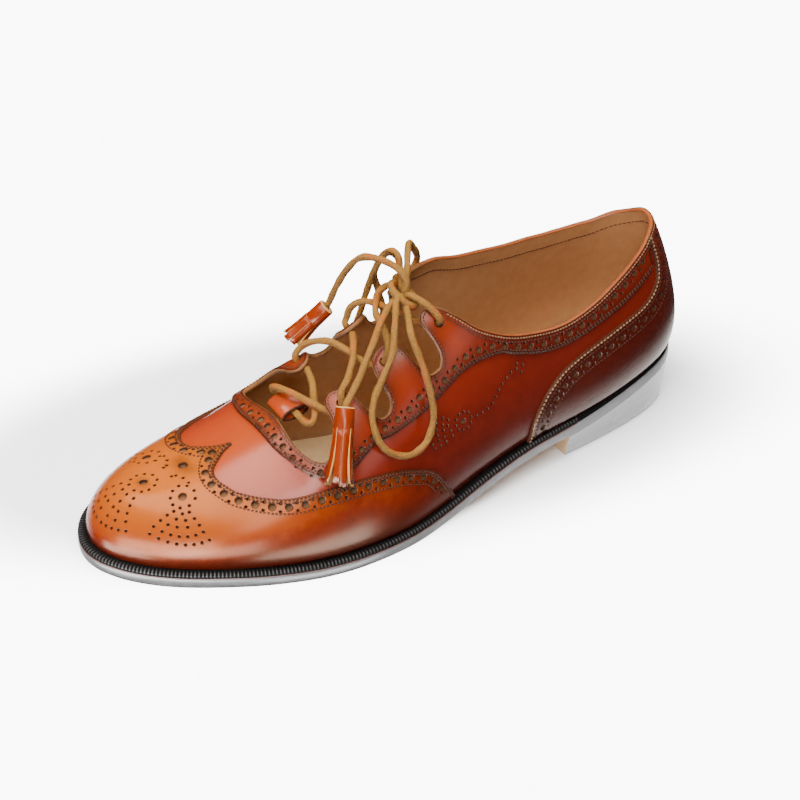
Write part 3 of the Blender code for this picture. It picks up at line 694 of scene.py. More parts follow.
# %% A piece that rides with the shoe
def piece(name, points, faces, finishes, normals=None, kinds=None, slot=None, **attributes):
    """A mesh piece in metres that rides with the shoe, with smooth faces."""
    mesh = bpy.data.meshes.new(name)
    mesh.from_pydata(metres(points).tolist(), [], [list(map(int, f)) for f in faces])
    for finish in finishes:
        mesh.materials.append(finish.material)
    if kinds is not None:
        mesh.polygons.foreach_set("material_index", np.asarray(kinds, np.int32))
    mesh.polygons.foreach_set("use_smooth", np.ones(len(mesh.polygons), bool))
    for key, values in attributes.items():
        mesh.attributes.new(key, "FLOAT", "POINT").data.foreach_set("value", np.asarray(values, np.float32))
    if normals is not None:
        mesh.normals_split_custom_set_from_vertices(np.asarray(normals, float).tolist())
    made = bpy.data.objects.new(name, mesh)
    bpy.context.scene.collection.objects.link(made)
    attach(made, "root")
    print(name, len(mesh.vertices), "points", sum(len(f) - 2 for f in faces), "triangles")
    return made


# %% Leather on both sides of the last
SEAM_WIDTH = 0.01                    # points this near to the middle of the shoe meet the other half
RIM_FADE, WAX_FADE = 0.16, 4.0       # how far the dark rim and the burnish reach in from a cut edge
RIM_TILT = 0.8                       # how far the rim turns towards its wall


def cut_sides(flat, faces):
    """Sides of the triangles along cut edges: those that have no neighbour and don't lie on a seam."""
    seam = flat[:, 1] > GIRTH - SEAM_WIDTH
    seam |= (flat[:, 0] < SEAM[0] + SEAM_WIDTH) | (flat[:, 0] > SEAM[1] - SEAM_WIDTH)
    sides = {}
    for f in faces:
        for k in range(3):
            sides[(f[k], f[(k + 1) % 3])] = True
    return [(a, b) for a, b in sides if (b, a) not in sides and not (seam[a] and seam[b])]


def lay_leather(name, border, holes, lift, base, finishes, slot, step=3.0, support=(), soft=0.22, flip=False):
    """A cut sheet on both sides of the last, from its base up to its lift, with walls on its cut edges."""
    flat, faces, rim = cut_out(border, holes, step, support)
    walls = cut_sides(flat, faces)
    on_wall = sorted({k for e in walls for k in e})
    low_of = {k: i for i, k in enumerate(on_wall)}
    rims = np.zeros(len(flat), bool)
    rims[on_wall] = True
    edges = [k for k in on_wall if rim[k] == 1]
    reach, edge_reach = nearest(flat, flat[on_wall]), nearest(flat, flat[edges])
    all_points, all_normals, all_faces, kinds, rimmed, waxed, first = [], [], [], [], [], [], 0
    for s in (1, -1):
        top, n = laid(flat, s, lift - soft * rims)
        low, _ = laid(flat[on_wall], s, base)
        away = np.zeros((len(flat), 3))
        for a, b in walls:
            out = np.cross(n[a], top[b] - top[a]) * s
            size = np.linalg.norm(out)
            if size > 1e-9:
                away[a] += out / size
                away[b] += out / size
        away /= np.maximum(np.linalg.norm(away, axis=1, keepdims=True), 1e-9)
        tilted = n + RIM_TILT * away * rims[:, None]
        tilted /= np.linalg.norm(tilted, axis=1, keepdims=True)
        total = len(flat)
        turn = (2, 1, 0) if s > 0 else (0, 1, 2)
        if flip:
            turn = turn[::-1]
            tilted = -n
        all_points += [top, top[on_wall], low]
        all_normals += [tilted, tilted[on_wall], away[on_wall]]
        all_faces += [[first + f[k] for k in turn] for f in faces]
        kinds += [0] * len(faces)
        for a, b in walls:
            p, q = first + total + low_of[a], first + total + low_of[b]
            quad = [q, p, p + len(on_wall), q + len(on_wall)]
            all_faces.append(quad[::-1] if (s > 0) != flip else quad)
            kinds.append(min(1, len(finishes) - 1))
        rimmed += [np.exp(-reach / RIM_FADE), np.ones(2 * len(on_wall))]
        waxed += [np.exp(-edge_reach / WAX_FADE), np.ones(2 * len(on_wall))]
        first += total + 2 * len(on_wall)
    share = flat[:, 1] / GIRTH
    rise = np.tile(np.concatenate([share, share[on_wall], share[on_wall]]), 2)
    return piece(name, np.vstack(all_points), all_faces, finishes, np.vstack(all_normals), kinds, slot,
                 rim=np.concatenate(rimmed), waxed=np.concatenate(waxed), rise=rise)


# %% [markdown]
# ## Polished calf
# The shoe is dyed by hand: amber over the toe and crest, red-brown on the sides, nearly burgundy low down
# and along every cut edge, where the wax gathers. The darkening from the crest down to the sole is partly
# that dye and partly painted shade. The colour comes from place and a slow noise, and the edge darkening
# from a value stored at each point. A fine grain and a clear wax coat finish it.

# %% Leather finishes
def calf(name, tones, burn, coat=0.4, tint=(1.0, 0.72, 0.5)):
    """Hand-dyed calf: tones go from the sole up to the crest, partly dye and partly painted shade, and cut
    edges are burnished darker.
    """
    f = Finish(name, Coat_Roughness=0.17, Coat_IOR=1.3, Coat_Tint=(1.0, 0.9, 0.8, 1),
               Specular_IOR_Level=0.12, Specular_Tint=(*tint, 1))
    cloud = f.noise(30.0, 4.0, 0.6)
    mottle = f.noise(210.0, 5.0, 0.7)
    # Lighter towards the crest and darker towards the sole: partly the dye and partly painted shade
    tone = f.attribute("rise") + (cloud - 0.5) * 0.2 + (mottle - 0.5) * 0.16
    colour = f.node("ShaderNodeValToRGB", {"stops": tones}, {0: tone})
    burnished = f.blend(f.attribute("waxed") * burn, colour, (0.025, 0.005, 0.002))
    rim = f.attribute("rim")
    f.give("Base Color", f.blend(rim * 0.8, burnished, (0.008, 0.002, 0.001)))
    lip = rim ** 8
    f.give("Coat Weight", (1 - lip) * coat)
    grain = f.noise(1400.0, 2.0, 0.6)
    wear = f.noise(120.0, 3.0, 0.55)
    f.give("Roughness", wear * 0.1 + lip * 0.5 + 0.2)
    f.relief(grain * 0.5 + wear * 0.5, 0.12, 0.0006)
    return f


def raw(name, colour, deep, scale=900.0, rough=0.75):
    """Cut leather fibre."""
    f = Finish(name, Specular_IOR_Level=0.03)
    fibre = f.noise(scale, 4.0, 0.7)
    f.give("Base Color", f.blend(fibre, deep, colour))
    f.give("Roughness", fibre * 0.2 + (rough - 0.1))
    f.relief(fibre, 0.4, 0.0005)
    return f


# %% The leathers
# Painted shade: the tones darken towards the sole partly as dye and partly as shade on the lower sides
# Tones: share of the way up, colour; the lowest and the highest come first
QUARTER_TONES = [
    (0.0, (0.05, 0.005, 0.003)), (1.0, (0.27, 0.038, 0.006)), (0.12, (0.08, 0.007, 0.004)),
    (0.26, (0.13, 0.01, 0.005)), (0.42, (0.175, 0.014, 0.006)), (0.7, (0.23, 0.025, 0.006))]
WING_TONES = [
    (0.0, (0.07, 0.007, 0.003)), (1.0, (0.34, 0.078, 0.005)), (0.11, (0.1, 0.009, 0.003)),
    (0.2, (0.17, 0.014, 0.003)), (0.3, (0.25, 0.034, 0.003)), (0.5, (0.27, 0.05, 0.003))]
COUNTER_TONES = [
    (0.0, (0.05, 0.005, 0.003)), (1.0, (0.25, 0.025, 0.004)), (0.12, (0.055, 0.005, 0.003)),
    (0.28, (0.09, 0.007, 0.003)), (0.5, (0.15, 0.013, 0.003))]
quarter_calf = calf("quarter_calf", QUARTER_TONES, 0.3)
facing_calf = calf("facing_calf", QUARTER_TONES, 0.8, coat=0.2)
wing_calf = calf("wing_calf", WING_TONES, 0.5, coat=0.1, tint=(1.0, 0.6, 0.3))
counter_calf = calf("counter_calf", COUNTER_TONES, 0.5, coat=0.8)
cut_edge = raw("cut_edge", (0.07, 0.022, 0.009), (0.025, 0.007, 0.003))
lining_calf = raw("lining_calf", (0.37, 0.175, 0.07), (0.27, 0.118, 0.046), 220.0, 0.55)
sock_calf = raw("sock_calf", (0.5, 0.33, 0.17), (0.4, 0.23, 0.1), 260.0, 0.5)
print("leathers mixed")

# %% [markdown]
# ## Pattern lines
# The brogue lines all follow the cut edges: stitches run just inside an edge, a row of punched holes runs
# a little further in, and a last row of stitches closes the band. So each line is the edge itself, moved
# sideways on the last by a number of millimetres.

# %% Edges, foot lines and seams
def along_foot(a, b, share, step=3.0):
    """A line from station a to station b at one height."""
    u = np.linspace(station_u(a), station_u(b), 2 + round(abs(b - a) / step))
    return to_flat(np.column_stack([station_x(u), np.full(len(u), share)]))


def up_column(x, a, b, step=3.0):
    """A line up or down at one station."""
    share = np.linspace(a, b, 2 + round(abs(b - a) * GIRTH / step))
    return to_flat(np.column_stack([np.full(len(share), x), share]))


def joined(*lines):
    """One closed border from lines that share their ends."""
    return np.vstack([part[:-1] for part in lines])


def edge_line(edge, step=0.8):
    """A smooth line on the pattern through the points of an edge table."""
    line = curve_through(to_flat(edge), step)
    line[:, 1] = np.minimum(line[:, 1], GIRTH)
    return line


def gimped(line, pitch=1.7, depth=0.45):
    """A line with the small saw teeth that a gimping knife leaves."""
    fine = spaced(line, pitch / 2)
    teeth = np.where(np.arange(len(fine)) % 2 == 0, 0.0, depth)
    teeth[0] = teeth[-1] = 0
    return np.vstack([fine[:1], moved_in(fine, teeth)[1:-1], fine[-1:]])


# %% The lines of this shoe
FOOT = 0.012             # where the overlays start above the sole
top_line = edge_line(TOP_EDGE)
band_line = edge_line(BAND_EDGE)
wing_line = edge_line(WING_EDGE)
counter_line = edge_line(COUNTER_EDGE)
throat = TOP_EDGE[0][0]
heel_top = TOP_EDGE[-1][1]
for label, line in (("top", top_line), ("band", band_line), ("wing", wing_line), ("counter", counter_line)):
    print(label, "line has", len(line), "points")

# %% [markdown]
# ## Brogue holes
# Brogueing is a row of large punched holes with a pair of small ones between each two. The toe carries a
# medallion of rings and fans, and each quarter a small spray. Rows follow lines on the pattern, so only
# the lines are written down, and a hole on the middle of the toe is cut as two halves that meet there.

# %% Rows of holes
EYELETS = [(190, 0.78), (166, 0.73), (138, 0.67)]
BAND_HOLES = [
    (217.5, 0.985), (218.4, 0.88), (217.9, 0.777), (217, 0.673), (214.1, 0.57), (208, 0.5),
    (199, 0.463), (190, 0.475), (181, 0.487), (172, 0.468), (162, 0.463), (155.7, 0.473),
    (148.3, 0.462), (142, 0.45), (136.6, 0.458), (130.8, 0.467), (124, 0.457), (116.7, 0.437),
    (109.5, 0.407), (103, 0.376), (95.4, 0.35), (89, 0.333), (82, 0.323), (74.4, 0.321), (67.2, 0.327),
    (60.7, 0.337), (54, 0.35), (47.7, 0.369), (41, 0.387), (34, 0.41), (25.5, 0.437)]


def brogue_row(line, pitch, large, small=0.66, across=1.75):
    """Large holes along a line with a pair of small ones between them."""
    fine = spaced(line, pitch / 2)
    holes = [(p, large) for p in fine[::2]]
    for side in (across, -across):
        holes += [(p, small) for p in moved_in(fine, side)[1:-1:2]]
    return holes


def flat_point(x, share):
    """One place on the flat pattern."""
    return to_flat([(x, share)])[0]


wing_holes = brogue_row(moved_in(wing_line, 3.9)[16:-9], 7.4, 1.7)
band_holes = brogue_row(edge_line(BAND_HOLES), 7.15, 1.5, across=1.65)
counter_holes = brogue_row(moved_in(counter_line, 6.6)[6:], 7.3, 1.5, across=1.65)
eyelets = [(flat_point(*e), 2.1) for e in EYELETS]
print(len(wing_holes), len(band_holes), len(counter_holes), "holes in the three bands")

# %% Medallion on the toe
TOE_HOLE, TIP_HOLE = 0.68, 1.9
TOE_SIDE = (267.6, 0.77)
# Holes on the middle of the crest: x, radius
CREST_HOLES = [(255.4, 1.9), (239.5, 1.6)]
# Small holes in front of them: x, share
CREST_DOTS = [(266, 0.97), (263.3, 0.965), (260.7, 0.93), (260.2, 0.878)]
# Fans: holes in the row, then its first, middle and last place
FANS = [
    (3, (275, 0.643), (271.4, 0.608), (268, 0.613)), (4, (278.7, 0.61), (273, 0.55), (266.9, 0.547)),
    (5, (282.4, 0.56), (275.6, 0.488), (265.9, 0.48)),
    (7, (285.9, 0.497), (275.6, 0.396), (265.2, 0.413)),
    (8, (287.7, 0.423), (275.5, 0.318), (263.7, 0.333)),
    (2, (304.1, 0.78), (301.5, 0.775), (298.6, 0.77)),
    (2, (304.1, 0.682), (301.5, 0.68), (298.8, 0.68)),
    (3, (304.5, 0.593), (302.5, 0.58), (298.7, 0.595)),
    (3, (304.5, 0.487), (302.1, 0.485), (298.2, 0.508)),
    (5, (304.8, 0.39), (302.2, 0.395), (297.3, 0.414))]
medallion = [(flat_point(*TOE_SIDE), 1.9)]
medallion += [(p, TOE_HOLE) for p in ring_of(flat_point(*TOE_SIDE), 5.6, 9, 0.3)]
for count, *bend in FANS:
    a, b, c = np.array(bend)
    for t in np.linspace(0, 1, count):
        place = (1 - t) * (1 - 2 * t) * a + 4 * t * (1 - t) * b + t * (2 * t - 1) * c
        medallion.append((flat_point(*place), TOE_HOLE))
medallion += [(flat_point(*place), TOE_HOLE) for place in CREST_DOTS]

# %% Holes on the middle of the toe
TIP = last(np.array([1.0]), np.array([1.0]), 1)[0]


def round_tip(radius, angles):
    """Places on one half of the toe round the end of the crest, at a distance; 0 is back, 180 forward."""
    turns = np.linspace(0, np.pi / 2, 181)
    flat = np.column_stack([np.cos(turns), np.sin(turns)])
    near, far = np.zeros(len(turns)), np.full(len(turns), 90.0)
    for _ in range(40):
        mid = (near + far) / 2
        places = last(*from_flat((SEAM[1], GIRTH) - flat * mid[:, None]), 1) - TIP
        short = np.linalg.norm(places, axis=1) < radius
        near, far = np.where(short, mid, near), np.where(short, far, mid)
    seen = np.degrees(np.unwrap(np.arctan2(places[:, 1] - places[0, 1], -places[:, 0])))
    seen = np.maximum.accumulate(seen - seen[0]) * 180 / (seen[-1] - seen[0])
    rows = (SEAM[1], GIRTH) - flat * mid[:, None]
    return np.column_stack([np.interp(angles, seen, rows[:, c]) for c in (0, 1)])


medallion += [(p, TOE_HOLE) for p in round_tip(6.2, [20, 55, 90, 125, 160])]
tip_hole = round_tip(TIP_HOLE, np.linspace(180, 0, 13))


def crest_hole(x, radius):
    """Half a hole on the crest, as a notch in the border from its toe side to its heel side."""
    edge = ring_of(flat_point(x, 1.0), radius, 2)
    width = (edge[:, 0].max() - edge[:, 0].min()) / 2
    height = GIRTH - ring_of(flat_point(x, 1.0), radius, 4)[:, 1].min()
    turn = np.linspace(0, np.pi, 11)
    return np.column_stack([edge[:, 0].mean() + width * np.cos(turn), GIRTH - height * np.sin(turn)])


print(len(medallion), "holes on each half of the toe")

# %% Spray on the quarter
SPRAY = [
    (149.3, 0.35), (146.1, 0.328), (143.5, 0.308), (149.9, 0.328), (146.7, 0.307), (144, 0.288),
    (150.4, 0.307), (146.7, 0.286), (142.9, 0.264), (150.4, 0.287), (146.7, 0.263), (142.4, 0.243),
    (149.9, 0.265), (146.1, 0.24), (153.6, 0.268), (149.3, 0.243), (152.5, 0.247), (103.9, 0.3),
    (103.4, 0.317), (100.4, 0.3), (101.4, 0.28)]
SPRAY_HOLE, ROSETTE = 0.6, (135.5, 0.26)
TAIL = [(128.1, 0.243), (122.4, 0.237), (117.7, 0.25), (114.1, 0.275), (109.5, 0.293), (106.9, 0.3)]
spray = [(flat_point(*p), SPRAY_HOLE) for p in SPRAY]
spray += [(p, SPRAY_HOLE) for p in ring_of(flat_point(*ROSETTE), 4.4, 10)]
spray += [(p, SPRAY_HOLE) for p in spaced(edge_line(TAIL), 3.0)]
spray.append((flat_point(*ROSETTE), 1.35))
print(len(spray), "holes in each spray")

# %% [markdown]
# ## The upper and its overlays
# The vamp and quarters are one skin from sole to throat. The wing cap, the facing with its eyelet tabs and
# the heel counter are sewn over it, and stand less than a millimetre above it. A lining of plain tan
# calf closes the inside. Each is the same kind of sheet, laid a little higher or lower.

# %% Upper and lining
UNDER_OVERLAY = -0.6     # height of the upper, on which the overlays lie
upper_border = joined(
    along_foot(0, LENGTH, 0), up_column(LENGTH, 0, 1), along_foot(LENGTH, throat, 1), top_line,
    up_column(0, heel_top, 0))
upper = lay_leather("upper_leather", upper_border, spray + eyelets, UNDER_OVERLAY, -1.6,
                    [quarter_calf, cut_edge], "upper")
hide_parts("upper")
lay_leather("lining", upper_border, [(p, r + 0.1) for p, r in eyelets], -1.9, -1.2,
            [lining_calf], "upper", 3.6, soft=0.0, flip=True)


# %% Wing cap
def pair_support(line, side):
    """Points a little inside a cut edge, so that only the very edge is rounded."""
    return moved_in(line, side)[2:-2:2]


NOTCH_HALO, NOTCH_ROOM = 0.35, 0.3
wing_edge = gimped(wing_line)
crest_run = along_foot(LENGTH, WING_EDGE[0][0], 1)
notches = [crest_hole(x, radius) for x, radius in CREST_HOLES]


def with_notches(line, cuts):
    """A crest line with half holes cut into it."""
    for cut in cuts:
        start, stop = cut[0] + (NOTCH_HALO, 0), cut[-1] - (NOTCH_HALO, 0)
        before = line[line[:, 0] > start[0] + NOTCH_ROOM]
        after = line[line[:, 0] < stop[0] - NOTCH_ROOM]
        line = np.vstack([before, start, cut, stop, after])
    return line


beside_tip = round_tip(TIP_HOLE + NOTCH_HALO, [180, 0])
crest_run = crest_run[crest_run[:, 0] < beside_tip[1, 0] - 0.5]
toe_run = up_column(LENGTH, FOOT, 1)
toe_run = toe_run[toe_run[:, 1] < beside_tip[0, 1] - 0.5]
wing_border = np.vstack([
    along_foot(WING_EDGE[-1][0], LENGTH, FOOT)[:-1], toe_run, beside_tip[:1], tip_hole, beside_tip[1:],
    with_notches(crest_run, notches)[:-1], wing_edge[:-1]])
round_notches = [round_tip(TIP_HOLE + NOTCH_HALO, np.linspace(171, 9, 15))]
round_notches += [crest_hole(x, radius + NOTCH_HALO)[1:-1] for x, radius in CREST_HOLES]
wing_cap = lay_leather("wing_cap_leather", wing_border, wing_holes + medallion, 0.75, UNDER_OVERLAY,
                       [wing_calf, cut_edge], "wing_cap",
                       support=[pair_support(wing_line, 0.9)] + round_notches)
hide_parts("wing_cap")

# %% Facing with its eyelet tabs
back_edge = np.array([flat_point(18.5, 0.498), band_line[-1]])
split = int(np.argmax(top_line[:, 0] < back_edge[0, 0]))
facing_border = joined(
    along_foot(BAND_EDGE[0][0], throat, 1), np.vstack([top_line[:split], back_edge[:1]]), back_edge,
    band_line[::-1])
facing = lay_leather("facing_leather", facing_border, band_holes + eyelets, 0.7, UNDER_OVERLAY,
                     [facing_calf, cut_edge], "facing",
                     support=[pair_support(top_line, 0.6), pair_support(band_line, -0.6)])
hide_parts("facing")

# %% Heel counter
counter_edge = gimped(counter_line, 2.2, 0.6)
back_split = int(np.argmax(top_line[:, 0] < counter_line[-1, 0]))
counter_border = joined(
    along_foot(0, COUNTER_EDGE[0][0], FOOT), counter_edge,
    np.vstack([counter_edge[-1:], top_line[back_split + 2:]]), up_column(0, heel_top, FOOT))
counter = lay_leather("heel_counter_leather", counter_border, counter_holes, 0.85, UNDER_OVERLAY,
                      [counter_calf, cut_edge], "heel_counter", support=[pair_support(counter_line, 1.1)])
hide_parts("heel_counter")

# %% [markdown]
# ## What shows through the holes
# The large holes go right through the overlay, so the pale flesh side of the leather below shows at the
# bottom of each one, with a painted shadow under the upper lip of the hole, and the bottoms of the small ones
# are painted nearly black as shade. Round patches lie on the upper under them.

# %% Backing in the holes
# Painted shade: how far the bottoms of large and small holes are darkened towards near black
LARGE_HOLE_SHADE, SMALL_HOLE_SHADE = 0.4, 0.9    # how dark the bottoms of large and small holes are
PATCH_LAP = 0.25                     # how far a patch reaches under the leather round its hole
hole_backing = Finish("hole_backing", Specular_IOR_Level=0.02, Roughness=0.8)
# Painted shadow: a value stored at each point darkens the patch towards near black
dark_corner = hole_backing.attribute("corner")
fibre = hole_backing.noise(1200.0, 4.0, 0.7)
pale = hole_backing.blend(fibre, (0.1, 0.04, 0.016), (0.24, 0.12, 0.055))
hole_backing.give("Base Color", hole_backing.blend(dark_corner, pale, (0.008, 0.003, 0.002)))


def backing(name, holes, half_holes, lift, slot):
    """Round patches under the holes of an overlay, on both sides, with a painted shadow under the upper lip
    of each hole.
    """
    points, normals, faces, corner, first = [], [], [], [], 0
    fans = []
    for place, radius in holes:
        sides, dark = (12, LARGE_HOLE_SHADE) if radius > LARGE_HOLE else (8, SMALL_HOLE_SHADE)
        fans.append((place, ring_of(place, radius + PATCH_LAP, sides), dark, True))
    fans += [(middle, ring[::-1], LARGE_HOLE_SHADE, False) for middle, ring in half_holes]
    for place, ring, deep, closed in fans:
        count = len(ring)
        # Painted shadow: darker on the side of the ring under the hole's upper lip, and all round a half hole
        # on the crest
        shadow_side = (ring[:, 1] - place[1]) / np.abs(ring[:, 1] - place[1]).max()
        around = np.clip(deep + 0.15 + 0.6 * shadow_side, 0.1, 1) if closed else np.ones(count)
        for s in (1, -1):
            p, n = laid(np.vstack([[place], ring]), s, lift)
            points.append(p)
            normals.append(n)
            corner += [deep, *around]
            for k in range(count if closed else count - 1):
                three = (first, first + 1 + (k + 1) % count, first + 1 + k)
                faces.append(three if s > 0 else three[::-1])
            first += count + 1
    return piece(name, np.vstack(points), faces, [hole_backing], np.vstack(normals), None, slot,
                 corner=corner)


NOTCH_LAP = 0.2
crest_fans = [(flat_point(x, 1.0), crest_hole(x, radius + NOTCH_LAP)) for x, radius in CREST_HOLES]
crest_fans.append((flat_point(LENGTH, 1.0), round_tip(TIP_HOLE + NOTCH_LAP, np.linspace(180, 0, 13))))
backing("wing_hole_backing", wing_holes + medallion, crest_fans, -0.5, "wing_cap")
backing("band_hole_backing", band_holes, [], -0.5, "facing")
backing("counter_hole_backing", counter_holes, [], -0.5, "heel_counter")
backing("quarter_hole_backing", spray, [], -1.45, "upper")

# %% [markdown]
# ## The top edge
# At the collar the lining is folded over a cord, which gives a smooth bright bead. Round the eyelet tabs
# the leather is simply cut, so its pale fibre shows. Both are one ribbon along the top line, half round in
# section, and a stored value says where it is folded and where it is cut.

# %% Rows of points and lines on the last
def net(rows, columns, first=0, closed=False, flip=False):
    """Faces between rows of points that follow each other; closed joins the ends of each row."""
    faces = []
    for i in range(rows - 1):
        for k in range(columns if closed else columns - 1):
            a = first + i * columns + k
            b = first + i * columns + (k + 1) % columns
            quad = (a, b, b + columns, a + columns)
            faces.append(quad[::-1] if flip else quad)
    return faces


def thread_on(line, s, lift):
    """Places, outward directions and running directions of a line on one side of the last."""
    p, n = laid(line, s, lift)
    t = np.gradient(p, axis=0)
    return p, n, t / np.maximum(np.linalg.norm(t, axis=1, keepdims=True), 1e-9)


# %% Bead and cut edge
FOLD_FROM, FOLD_BLEND = 131, 12      # where the fold of the collar starts, and how gently


def bead(name, line, finish, slot, high=0.45, low=-1.95, proud=0.45, sides=9):
    """A half-round ribbon that closes the edge between the outside and the lining."""
    line = spaced(line, 0.9)
    points, normals, faces, fold, first = [], [], [], [], 0
    folded = np.clip((flat_point(FOLD_FROM, 0)[0] - line[:, 0]) / FOLD_BLEND, 0, 1)
    mid, half = (high + low) / 2, (high - low) / 2
    for s in (1, -1):
        p, n, t = thread_on(line, s, 0)
        out = np.cross(n, t) * s
        for a in np.linspace(0, np.pi, sides):
            points.append(p + n * (mid + half * math.cos(a)) + out * (proud * math.sin(a) ** 0.7 - 0.1))
            normals.append(n * math.cos(a) + out * math.sin(a))
            fold.append(folded)
        faces += net(sides, len(line), first, flip=s < 0)
        first += sides * len(line)
    return piece(name, np.vstack(points), faces, [finish], np.vstack(normals), None, slot,
                 fold=np.concatenate(fold))


collar_bead = Finish("collar_bead", Coat_Weight=0.12, Coat_Roughness=0.2, Coat_IOR=1.3,
                     Specular_IOR_Level=0.08)
fibre = collar_bead.noise(700.0, 3.0, 0.65)
cut_colour = collar_bead.blend(fibre, (0.09, 0.03, 0.009), (0.22, 0.09, 0.028))
fold_colour = collar_bead.blend(fibre, (0.14, 0.03, 0.007), (0.26, 0.07, 0.02))
collar_bead.give("Base Color", collar_bead.blend(collar_bead.attribute("fold"), cut_colour, fold_colour))
collar_bead.give("Roughness", 0.75 - 0.35 * collar_bead.attribute("fold"))
collar_bead.relief(fibre, 0.25, 0.0004)
bead("top_edge_bead", top_line, collar_bead, "facing")

# %% [markdown]
# ## Stitching
# Each stitch is a short length of waxed thread that dives into the leather at both ends. One small spindle
# is copied along every row, turned to the row's direction and half sunk in the leather. Copies in one mesh
# are light, and the rows stay true on the curved surface because they use the same moved lines.

# %% Thread
def thread(name, colour, deep):
    """Waxed thread, deep in colour between its plies."""
    f = Finish(name, Specular_IOR_Level=0.06)
    ply = f.noise(2600.0, 2.0, 0.6)
    f.give("Base Color", f.blend(ply, deep, colour))
    f.give("Roughness", ply * 0.2 + 0.45)
    return f


cream_thread = thread("cream_thread", (0.27, 0.15, 0.075), (0.1, 0.045, 0.02))
tan_thread = thread("tan_thread", (0.09, 0.032, 0.013), (0.028, 0.009, 0.004))
brown_thread = thread("brown_thread", (0.07, 0.022, 0.01), (0.02, 0.006, 0.003))


# %% Stitches
# One stitch: share of its half length, share of its thickness, dip in thicknesses
SPINDLE = [(-1, 0.3, -1.1), (-0.7, 0.85, -0.25), (0, 1, 0), (0.7, 0.85, -0.25), (1, 0.3, -1.1)]
SPINDLE_SIDES = 6


def stitch_rows(name, rows, finish, slot):
    """Rows of stitches; a row is a line, its height, the pitch, the length and the thickness of a stitch."""
    around = 2 * np.pi * np.arange(SPINDLE_SIDES) / SPINDLE_SIDES
    cap = np.arange(SPINDLE_SIDES)
    points, faces, first = [], [], 0
    for line, lift, pitch, long, thick in rows:
        places = spaced(line, pitch)
        for s in (1, -1):
            p, n, t = thread_on(places, s, lift)
            b = np.cross(n, t)
            for k in range(len(p) - 1):
                at = (p[k] + p[k + 1]) / 2
                ring = np.outer(np.cos(around), b[k]) + np.outer(np.sin(around), n[k])
                for share, wide, dip in SPINDLE:
                    centre = at + t[k] * share * long / 2 + n[k] * dip * thick
                    points.append(centre + ring * wide * thick)
                faces += net(len(SPINDLE), SPINDLE_SIDES, first, closed=True)
                faces.append(first + cap[::-1])
                first += len(SPINDLE) * SPINDLE_SIDES
                faces.append(first - SPINDLE_SIDES + cap)
    return piece(name, np.vstack(points), faces, [finish], None, None, slot)


# %% Where the rows run
COLLAR_FROM = 133
collar_line = top_line[int(np.argmax(top_line[:, 0] < flat_point(COLLAR_FROM, 0)[0])):]
tab_line = top_line[:-len(collar_line) + 2]
# Line, height, pitch, length, thickness
stitch_rows("wing_stitches", [
    (moved_in(wing_line, 0.95)[2:-2], 0.74, 1.75, 1.55, 0.5),
    (moved_in(wing_line, 2.1)[2:-2], 0.8, 1.75, 1.5, 0.46),
    (moved_in(wing_line, 6.7)[14:-16], 0.8, 1.75, 1.5, 0.42)], brown_thread, "wing_cap")
stitch_rows("band_stitches", [
    (moved_in(band_line, -0.85), 0.68, 1.75, 1.5, 0.44),
    (moved_in(band_line, -1.9), 0.74, 1.75, 1.5, 0.4),
    (moved_in(collar_line, 2.7)[:-24], 0.74, 1.75, 1.5, 0.4)], brown_thread, "facing")
stitch_rows("collar_stitches", [
    (moved_in(collar_line, 1.05), 0.66, 1.55, 1.45, 0.42)], cream_thread, "facing")
stitch_rows("tab_stitches", [
    (moved_in(tab_line, 1.35), 0.7, 1.7, 1.4, 0.4)], tan_thread, "facing")
stitch_rows("counter_stitches", [
    (moved_in(counter_line, 1.15), 0.85, 2.0, 1.8, 0.5)], cream_thread, "heel_counter")
stitch_rows("counter_inner_stitches", [
    (moved_in(counter_line, 3.0)[2:], 0.87, 1.75, 1.5, 0.34),
    (moved_in(counter_line, 9.6)[6:-3], 0.88, 1.75, 1.5, 0.3)], brown_thread, "heel_counter")
stitch_rows("lining_stitches", [
    (moved_in(collar_line, 7.0), -1.9, 2.2, 1.8, 0.26)], brown_thread, "upper")

# %% [markdown]
# ## Sole, welt and heel
# A welt is a strip of leather sewn round the upper, wheeled with fine ribs, and the outsole is stitched to
# it. The edges are dyed black and waxed until they shine. The heel is a stack of leather lifts with a
# rubber top piece, and its breast, the front face, stays pale. All follow the sole's outline.

# %% Outline walks
def walk(start, step, fine=1500):
    """Stations, sides and running lengths, from a start on the outer side round the toe to the inner side."""
    u = np.linspace(float(station_u(start)) if start > 0 else 0, 1, fine)
    outer, _ = outline(u, 1)
    inner, _ = outline(u[::-1], -1)
    run = running(np.hstack([outer, inner[:, 1:]]).T)
    even = np.linspace(0, run[-1], max(3, round(run[-1] / step)))
    where = np.interp(even, run, np.arange(len(run)))
    station = np.interp(where, np.arange(len(run)), np.concatenate([u, u[::-1][1:]]))
    return station, np.where(where <= fine - 1, 1, -1), even


def edge_loft(name, start, step, section, finish, slot):
    """A strip lofted along the edge; section gives rows of inset, height and shade."""
    u, s, run = walk(start, step)
    x = station_x(u)
    rows, shades = [], []
    for inset, height, shade in section(x, run):
        o = np.where(s > 0, outline(u, 1, inset)[0], outline(u, -1, inset)[0])
        rows.append(np.column_stack([o[0], o[1], height]))
        shades.append(np.broadcast_to(shade, len(x)))
    faces = net(len(rows), len(x))
    return piece(name, np.vstack(rows), faces, [finish], None, None, slot, shade=np.concatenate(shades))


def under(x):
    """Height of the sole's underside."""
    return table(UNDERSIDE, x)


